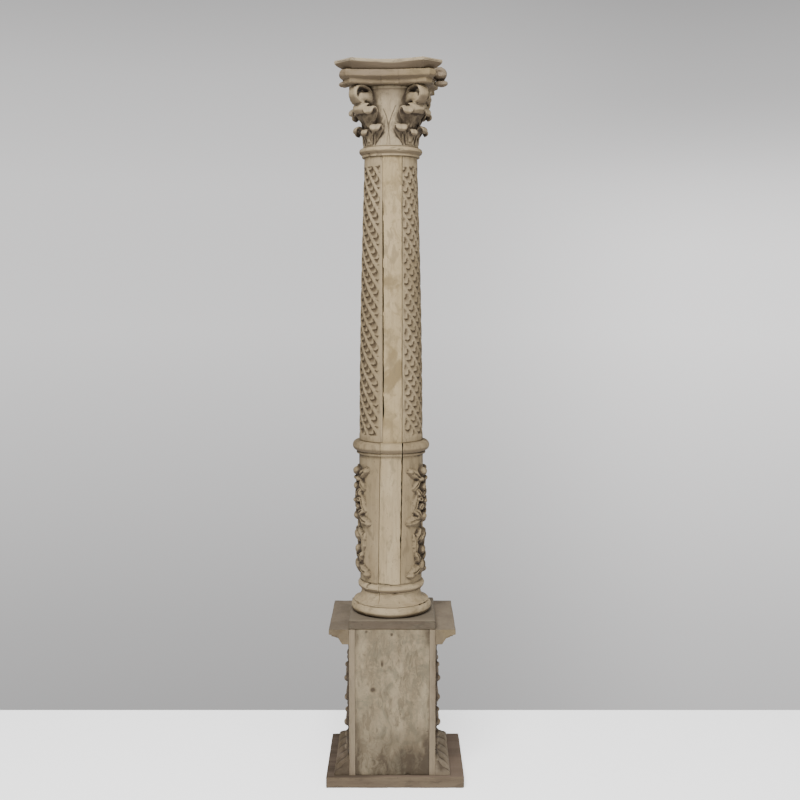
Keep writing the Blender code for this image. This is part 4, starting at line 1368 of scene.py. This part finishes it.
def carved_board(name, width, place, back, seed):
    """A board with raised leaf scrolls on its outer face; place turns across, out and up into X, Y, Z."""
    z_low = Z_DIE + FOOT_H + 0.004
    z_high = Z_PLINTH - CAP_H - 0.012
    span_w = width - 2 * RELIEF_MARGIN
    lumps = lump_rows(PANEL_MIDDLE, PANEL_PAIRS, PANEL_FLOWER, span_w, z_high - z_low)
    cols = int(span_w / 0.0024)
    us = np.concatenate([[-width / 2, -width / 2 + 0.0015], np.linspace(-span_w / 2, span_w / 2, cols + 1),
                         [width / 2 - 0.0015, width / 2]])
    vs = np.concatenate([np.linspace(Z_DIE, z_low, 12)[:-1], np.linspace(z_low, z_high, 160),
                         np.linspace(z_high, Z_PLINTH - GAP, 14)[1:]])
    u, v = np.meshgrid(us, vs)
    d = raised(lumps, u, v - z_low, RELIEF_H * 1.02)
    d = d * smooth(span_w / 2 + 0.0005, span_w / 2 - 0.004, np.abs(u))
    d = d - 0.0012 * smooth(width / 2 - 0.0008, width / 2, np.abs(u))
    flat = np.stack([u.ravel(), v.ravel(), np.zeros(u.size)], 1)
    d = d + (0.0006 * noise(flat, (0.02, 0.03, 1), seed)).reshape(u.shape)
    front = place(u.ravel(), d.ravel(), v.ravel())
    rows, n = u.shape
    grid = np.arange(rows * n).reshape(rows, n)
    faces = [(grid[j, i], grid[j, i + 1], grid[j + 1, i + 1], grid[j + 1, i])
             for j in range(rows - 1) for i in range(n - 1)]
    loop = list(grid[0]) + list(grid[1:, -1]) + list(grid[-1, -2::-1]) + list(grid[-2:0:-1, 0])
    rear = back(front[loop])
    first = rows * n
    m = len(loop)
    for i in range(m):
        k = (i + 1) % m
        faces.append((loop[k], loop[i], first + i, first + k))
    faces.append(tuple(first + i for i in range(m)))
    obj = mesh_object(name, np.vstack([front, rear]), faces)

    def close(bm):
        bmesh.ops.triangulate(bm, faces=[f for f in bm.faces if len(f.verts) > 4])
        face_out(bm)

    rework(obj, close)
    # Painted shade on the low ground between the raised leaves, less on their tops, and in the hollows
    carved = smooth(span_w / 2 + 0.004, span_w / 2 - 0.002, np.abs(u))
    carved = carved * smooth(z_low - 0.004, z_low + 0.002, v) * smooth(z_high + 0.004, z_high - 0.002, v)
    relief_ground_shade = 0.42 * carved * (1 - 0.75 * np.clip(d / RELIEF_H, 0, 1))
    hollow_dirt(obj, reach=0.022, rays=8, extra=np.append(relief_ground_shade.ravel(), np.zeros(m)), gain=1.6)
    sharp_by_angle(obj, 55)
    return obj


def make_boards():
    mid = (DIE_Y0 + DIE_Y1) / 2
    out = []
    for tag, side in (("left", -1), ("right", 1)):
        x_out = DIE_SHIFT_X + side * DIE_W / 2

        def place(u, d, v, x_out=x_out, side=side):
            return np.stack([x_out + side * d, mid + u, v], 1)

        def back(p, x_in=x_out - side * SIDE_T):
            return np.stack([np.full(len(p), x_in), p[:, 1], p[:, 2]], 1)

        obj = carved_board("side_board_" + tag + "_carving", DIE_D, place, back, 95 + side)
        out.append(settle(obj, "side_board_" + tag))

    def face_place(u, d, v):
        return np.stack([DIE_SHIFT_X - u, DIE_Y1 + d, v], 1)

    def face_back(p):
        return np.stack([p[:, 0], np.full(len(p), DIE_Y1 - FACE_T), p[:, 2]], 1)

    obj = carved_board("face_board_carving", DIE_W - 2 * SIDE_T - 2 * GAP, face_place, face_back, 99)
    out.append(settle(obj, "face_board"))
    return out


def run_moulding(name, side, profile, relief, steps):
    """Solid along one side of the box; relief(s, t) is added outward at run s and profile place t."""
    half_w = DIE_W / 2
    length = DIE_D if side else DIE_W
    prof = np.array(profile, float)
    rings = []
    cut = []
    for k in range(steps + 1):
        t = k / steps
        o = prof[:, 0] + GAP
        extra = relief(t * length, prof)
        cut.append(-extra)
        o = np.where(prof[:, 0] > 0.001, o + extra, o)
        z = prof[:, 1]
        if side == 0:
            x = DIE_SHIFT_X + (t * 2 - 1) * (half_w + o)
            y = DIE_Y1 + o
        else:
            run = DIE_D + o - 1.5 * GAP
            x = DIE_SHIFT_X + side * (half_w + o)
            y = DIE_Y0 + t * run
        rings.append(np.stack([x + 0 * z, y + 0 * z, z], 1))
    return loft(name, np.array(rings)), np.append(np.array(cut).ravel(), [0, 0])


def foot_profile():
    z0 = Z_DIE
    pts = [(0.0, z0 + GAP), (FOOT_OUT - 0.001, z0 + GAP), (FOOT_OUT, z0 + 0.0015),
           (FOOT_OUT, z0 + FOOT_LIP_H - 0.002), (FOOT_OUT - 0.0012, z0 + FOOT_LIP_H)]
    for k in range(1, 24):
        t = k / 24
        out = FOOT_OUT + (FOOT_TOP_OUT - FOOT_OUT) * t + 0.006 * math.sin(2 * math.pi * t)
        pts.append((out, z0 + FOOT_LIP_H + (FOOT_H - FOOT_LIP_H) * t))
    pts += [(FOOT_TOP_OUT, z0 + FOOT_H - 0.001), (FOOT_TOP_OUT - 0.0012, z0 + FOOT_H), (0.0, z0 + FOOT_H)]
    return pts


def foot_relief(s, prof):
    """Slanting leaves side by side, each with a midrib."""
    t = (prof[:, 1] - Z_DIE - FOOT_LIP_H) / (FOOT_H - FOOT_LIP_H)
    on = (t > 0.01) & (t < 0.985) & (prof[:, 0] > 0.001)
    f = (s - FOOT_SLANT * (1 - t) - 0.006 * np.sin(2 * math.pi * t)) / FOOT_PITCH + 0.35
    u = (f - np.floor(f)) * 2 - 1
    midrib = 0.0034 * np.exp(-(u / 0.11) ** 2)
    side_rib = 0.0016 * np.exp(-((np.abs(u) - 0.5) / 0.10) ** 2)
    h = -FOOT_DEPTH * np.abs(u) ** 2.2 - midrib - side_rib
    h = h * smooth(0.0, 0.10, t) * smooth(1.0, 0.92, t)
    return np.where(on, h, 0.0)


def cap_profile():
    z0 = Z_PLINTH - CAP_H
    z1 = Z_PLINTH - GAP
    pts = [(0.0, z0), (CAP_LOW_OUT - 0.001, z0), (CAP_LOW_OUT, z0 + 0.001),
           (CAP_LOW_OUT + 0.0008, z0 + 0.006)]
    for k in range(9):
        t = k / 8
        pts.append((CAP_LOW_OUT + 0.003 + (CAP_OUT - CAP_STEP - CAP_LOW_OUT - 0.003) * t ** 1.15,
                    z0 + 0.0085 + (CAP_H - CAP_FASCIA_H - 0.0145) * math.sin(math.pi / 2 * t)))
    step = z1 - CAP_FASCIA_H
    pts += [(CAP_OUT - CAP_STEP, step - 0.001), (CAP_OUT - CAP_STEP + 0.001, step),
            (CAP_OUT - 0.001, step + 0.0003), (CAP_OUT, step + 0.0015), (CAP_OUT + 0.0002, z1 - 0.009),
            (CAP_OUT, z1 - 0.0018), (CAP_OUT - 0.0014, z1)]
    pts += [(CAP_OUT * k / 6, z1) for k in range(5, -1, -1)]
    return pts


def no_relief(s, prof):
    return 0 * s * prof[:, 0]


def make_mouldings():
    feet = []
    caps = []
    for tag, side in (("left", -1), ("right", 1), ("face", 0)):
        foot, cut = run_moulding("foot_moulding_" + tag + "_carving", side, foot_profile(), foot_relief, 190)
        roughen(foot, 0.0011, (0.012, 0.012, 0.012), 111 + side)
        p = coords(foot)
        foot_end = smooth(DIE_Y0 + 0.003, DIE_Y0 + 0.001, p[:, 1])
        foot_end *= 0.27 - 0.05 * side + 0.14 * noise(p, 0.012, 113)
        # Painted shade in the grooves of the leaves and in hollows, with the end faces darker
        hollow_dirt(foot, reach=0.014, rays=8, extra=cut / FOOT_DEPTH * 0.40 + foot_end, gain=1.0)
        sharp_by_angle(foot, 58)
        feet.append(settle(foot, "foot_moulding_" + tag))
        cap = run_moulding("cap_moulding_" + tag + "_wood", side, cap_profile(), no_relief, 60)[0]
        if side:
            p = coords(cap)
            near = smooth(DIE_Y0 + 0.030, DIE_Y0 + 0.002, p[:, 1])
            broken = np.clip(noise(p, 0.010, 121 + side) - 0.15, 0, 1)
            low = smooth(Z_PLINTH - 0.012, Z_PLINTH - 0.024, p[:, 2])
            reach = side * (p[:, 0] - DIE_SHIFT_X) - DIE_W / 2
            p[:, 0] -= side * 0.010 * near * broken * low * (reach > 0.004)
            p[:, 1] += 0.005 * near * broken * (p[:, 1] < DIE_Y0 + 0.001) * (reach > 0.004)
            set_coords(cap, p)
        caps.append(weather(cap, 0.0008, (0.03, 0.05, 0.02), 117 + side, 40, "cap_moulding_" + tag))
    return feet, caps


# Colours of the finishes
CREAM = (0.250, 0.192, 0.112)
CREAM_PALE = (0.335, 0.268, 0.170)
# The carved drum is darker than its stave: partly dirt, partly painted shade of the flanks
DRUM_DIRT_SHADE_TONE = (0.176, 0.132, 0.074)
DRUM_PALE_DIRT_SHADE = (0.250, 0.196, 0.119)
DRUM_STAVE_TONE = (0.238, 0.182, 0.103)
DRUM_STAVE_PALE = (0.322, 0.257, 0.160)
# The carved shaft is darker than its stave: partly dirt, partly painted shade of the flanks
FLANK_DIRT_SHADE = (0.190, 0.144, 0.083)
FLANK_PALE_DIRT_SHADE = (0.268, 0.212, 0.132)
STAVE_TONE = (0.248, 0.188, 0.102)
STAVE_PALE = (0.335, 0.262, 0.156)
STAVE_STAIN = (0.158, 0.115, 0.056)
NECK_TONE = (0.230, 0.176, 0.102)
NECK_PALE = (0.308, 0.246, 0.154)
LEAF_TONE = (0.206, 0.160, 0.099)
LEAF_PALE = (0.306, 0.250, 0.170)
PATINA = (0.170, 0.128, 0.068)
CAP_TONE = (0.215, 0.168, 0.104)
CAP_PALE = (0.320, 0.262, 0.178)
LOWER_TONE = (0.148, 0.109, 0.057)
LOWER_PALE = (0.205, 0.157, 0.090)
PLINTH_TONE = (0.063, 0.047, 0.031)
PLINTH_PALE = (0.092, 0.071, 0.049)
# Top colour of the plinth: dust, and painted light on the top
PLINTH_TOP_DUST_AND_LIGHT = (0.150, 0.122, 0.086)
PANEL_TONE = (0.138, 0.107, 0.066)
PANEL_PALE = (0.230, 0.185, 0.119)
PANEL_STAIN = (0.096, 0.085, 0.056)
STILE = (0.140, 0.108, 0.068)
STILE_PALE = (0.185, 0.147, 0.099)
BROWN = (0.120, 0.090, 0.058)
BROWN_PALE = (0.175, 0.136, 0.091)
# Top colours of the caps and the base board: dust, and painted light on the tops
TOP_DUSTS_AND_LIGHT = ((0.140, 0.111, 0.079), (0.174, 0.139, 0.099), (0.140, 0.111, 0.079))
BOARD_TOP_DUST_AND_LIGHT = (0.128, 0.092, 0.066)
CAP_END = (0.078, 0.056, 0.030)
CAP_STAIN = (0.060, 0.043, 0.024)
BOARD_FRONT = (0.075, 0.053, 0.034)
# Colour of the painted shade in the shaft's carving
HOLLOW_SHADE_BROWN = (0.066, 0.046, 0.026)
FOOT_TONES = ((CAP_END, BROWN), (STILE_PALE, STILE_PALE), (BROWN, BROWN_PALE))


def finish(obj, name, *tones, **looks):
    dress(obj, wood(name, *tones, **looks))


# The pieces with their finishes
finish(make_turned_base(), "base_finish", CREAM, CREAM_PALE, "X", 0.40, PATINA, 1, swirl=0.6, wash=0.62)
finish(make_drum(), "drum_finish", DRUM_DIRT_SHADE_TONE, DRUM_PALE_DIRT_SHADE, "Z", 0.40, PATINA, 2, dirt=0.96, swirl=0.6)
finish(make_drum_stave(), "drum_stave_finish", DRUM_STAVE_TONE, DRUM_STAVE_PALE, "Z", 0.30, PATINA, 3,
       swirl=0.6)
finish(make_shaft(), "shaft_finish", FLANK_DIRT_SHADE, FLANK_PALE_DIRT_SHADE, "Z", 0.30, PATINA, 4, ochre=0.15,
       hollow_colour=HOLLOW_SHADE_BROWN)
finish(make_shaft_stave(), "shaft_stave_finish", STAVE_TONE, STAVE_PALE, "Z", 0.95, STAVE_STAIN, 5,
       grain=0.4, smear=(1, 1, 0.7), swirl=0.8)
finish(make_neck_ring(), "neck_finish", NECK_TONE, NECK_PALE, "X", 0.70, PATINA, 6, swirl=0.6, wash=0.35)
leaves, bell = make_capital()
finish(leaves, "leaf_finish", LEAF_TONE, LEAF_PALE, "Z", 0.35, PATINA, 7, dirt=0.97, ochre=0.15, mottle=0.3)
finish(bell, "bell_finish", CAP_TONE, CAP_PALE, "Z", 0.40, PATINA, 8, dirt=0.92, swirl=0.6)
lower_plate, flowers, upper_plate = make_abacus()
finish(lower_plate, "lower_plate_finish", LOWER_TONE, LOWER_PALE, "X", 0.50, BARE, 9, wash=0.35)
finish(flowers, "flower_finish", BROWN_PALE, CAP_TONE, "Z", 0.40, BARE, 10, wash=0.3)
# The upper plate takes strong painted shade on what faces down, its cove
finish(upper_plate, "upper_plate_finish", CAP_TONE, CAP_PALE, "X", 0.40, GREY, 11, under=0.97)
finish(make_plinth(), "plinth_finish", PLINTH_TONE, PLINTH_PALE, "X", 0.60, PANEL_STAIN, 12,
       smear=(0.4, 1, 1), top=PLINTH_TOP_DUST_AND_LIGHT)
finish(make_panel(), "panel_finish", PANEL_TONE, PANEL_PALE, "Z", 0.62, PANEL_STAIN, 13, grain=0.10,
       smear=(1.5, 1, 1.1), turn=0.7, swirl=1.8, soft=0.20, wash=1.0)
for k, board in enumerate(make_boards()):
    finish(board, "board_finish_%d" % k, STILE, STILE_PALE, "Z", 0.75, BARE, 14 + k, dirt=0.97,
           smear=(1, 1, 0.6))
feet, caps = make_mouldings()
for k, piece in enumerate(feet):
    finish(piece, "foot_finish_%d" % k, *FOOT_TONES[k], "Y", 0.60, BARE, 20 + k, wash=0.3)
for k, piece in enumerate(caps):
    finish(piece, "cap_finish_%d" % k, CAP_END, STILE, "Y", 0.60, CAP_STAIN, 25 + k, top=TOP_DUSTS_AND_LIGHT[k],
           ochre=0.4, speck=0.9, mottle=0.7, smear=(1.6, 1, 1.6), wash=0.3)
base_board = make_box("base_board", edge=0.004, cell=0.011, wear=0.0009, seed=97, chips=0.004)
spots = coords(base_board)
shadow = smooth(0.05, -0.12, spots[:, 0] - AXIS_X)
attribute(base_board, "dirt", 0.33 * shadow * (spots[:, 2] > Z_BOARD - 0.003))
finish(base_board, "base_board_finish", BOARD_FRONT, STILE, "X", 0.50, BROWN, 30, top=BOARD_TOP_DUST_AND_LIGHT,
       smear=(0.12, 1, 1), wash=0.6)


# Floor, wall light and lamps
def plain(name, colour, rough, glow):
    mat = bpy.data.materials.new(name)
    mat.use_nodes = True
    shader = mat.node_tree.nodes["Principled BSDF"]
    shader.inputs["Base Color"].default_value = (colour[0], colour[1], colour[2], 1.0)
    shader.inputs["Roughness"].default_value = rough
    shader.inputs["Specular IOR Level"].default_value = 0.1
    shader.inputs["Emission Color"].default_value = (1.0, 1.0, 1.0, 1.0)
    shader.inputs["Emission Strength"].default_value = glow
    return mat


FLOOR_BACK = AXIS_Y + 0.5596
FLOOR_GLOW = 0.95
FLOOR_TONE = (0.93, 0.93, 0.93)
FLOOR_REACH = 9
corners = [(-FLOOR_REACH, -FLOOR_REACH, 0), (FLOOR_REACH, -FLOOR_REACH, 0), (FLOOR_REACH, FLOOR_BACK, 0),
           (-FLOOR_REACH, FLOOR_BACK, 0)]
floor = mesh_object("floor", corners, [(0, 1, 2, 3)], False)
dress(floor, plain("floor_white", FLOOR_TONE, 0.9, FLOOR_GLOW))

world = bpy.data.worlds.new("studio")
bpy.context.scene.world = world
studio = Shading(world)
background = studio.nodes["Background"]
way = studio.nodes.new("ShaderNodeTexCoord").outputs["Generated"]
split = studio.nodes.new("ShaderNodeSeparateXYZ")
studio.links.new(way, split.inputs[0])
scale = studio.nodes.new("ShaderNodeMapRange")
scale.inputs[1].default_value = -1.0
scale.inputs[2].default_value = 1.0
studio.links.new(split.outputs[2], scale.inputs[0])
sky = studio.nodes.new("ShaderNodeValToRGB")
studio.links.new(scale.outputs[0], sky.inputs[0])
behind = studio.ramp(split.outputs[1], 0.45, 0.86, 0.45, 1.0)
to_right = studio.maths("MULTIPLY", studio.ramp(split.outputs[0], 0.0, 0.26, 0.0, 0.43),
                        studio.ramp(split.outputs[2], 0.17, 0.02, -0.38, 1.0))
level = studio.maths("MULTIPLY", behind, studio.maths("ADD", to_right, 1.0))
studio.links.new(studio.mix(1.0, sky.outputs[0], level, "MULTIPLY"), background.inputs["Color"])


def sky_stop(elevation, value):
    at = (math.sin(math.radians(elevation)) + 1) / 2
    stop = sky.color_ramp.elements.new(at)
    stop.color = shade(SKY_TINT, value) + (1.0,)


# Light of the studio by its elevation in degrees
SKY_TINT = (1.0, 0.985, 0.985)
SKY_STOPS = ((-60, 0.80), (-22.5, 0.80), (-20.9, 0.49), (-16, 0.58), (-9, 0.78), (-2, 1.00), (5, 0.97),
             (10, 0.77), (15, 0.50), (32, 0.55), (42, 1.30), (80, 1.60))
for elevation, value in SKY_STOPS:
    sky_stop(elevation, value)
sky.color_ramp.elements.remove(sky.color_ramp.elements[0])
sky.color_ramp.elements.remove(sky.color_ramp.elements[-1])
background.inputs["Strength"].default_value = 1.0


def lamp(name, place, aim, size, power):
    data = bpy.data.lights.new(name, "AREA")
    data.shape = "RECTANGLE"
    data.size = size[0]
    data.size_y = size[1]
    data.energy = power
    obj = bpy.data.objects.new(name, data)
    bpy.context.scene.collection.objects.link(obj)
    obj.location = place
    obj.rotation_euler = (Vector(aim) - Vector(place)).to_track_quat("-Z", "Y").to_euler()


lamp("key", place=(-0.7, -3.6, 4.9), aim=(0, 0, 0.9), size=(2.8, 2.4), power=480)
lamp("fill", place=(2.2, -3.8, 3.4), aim=(0, 0, 0.8), size=(2.2, 2.2), power=60)

# Camera at two thirds of the height, tilted a little down
camera_data = bpy.data.cameras.new("camera")
camera_data.sensor_width = SENSOR_WIDTH
camera_data.lens = SENSOR_WIDTH * CAM_FOCAL / PICTURE_WIDTH
camera = bpy.data.objects.new("camera", camera_data)
bpy.context.scene.collection.objects.link(camera)
camera.location = (AXIS_X + CAM_SIDE, AXIS_Y - CAM_DIST, CAM_Z)
camera.rotation_euler = (math.pi / 2 - CAM_PITCH, 0, 0)
bpy.context.scene.camera = camera
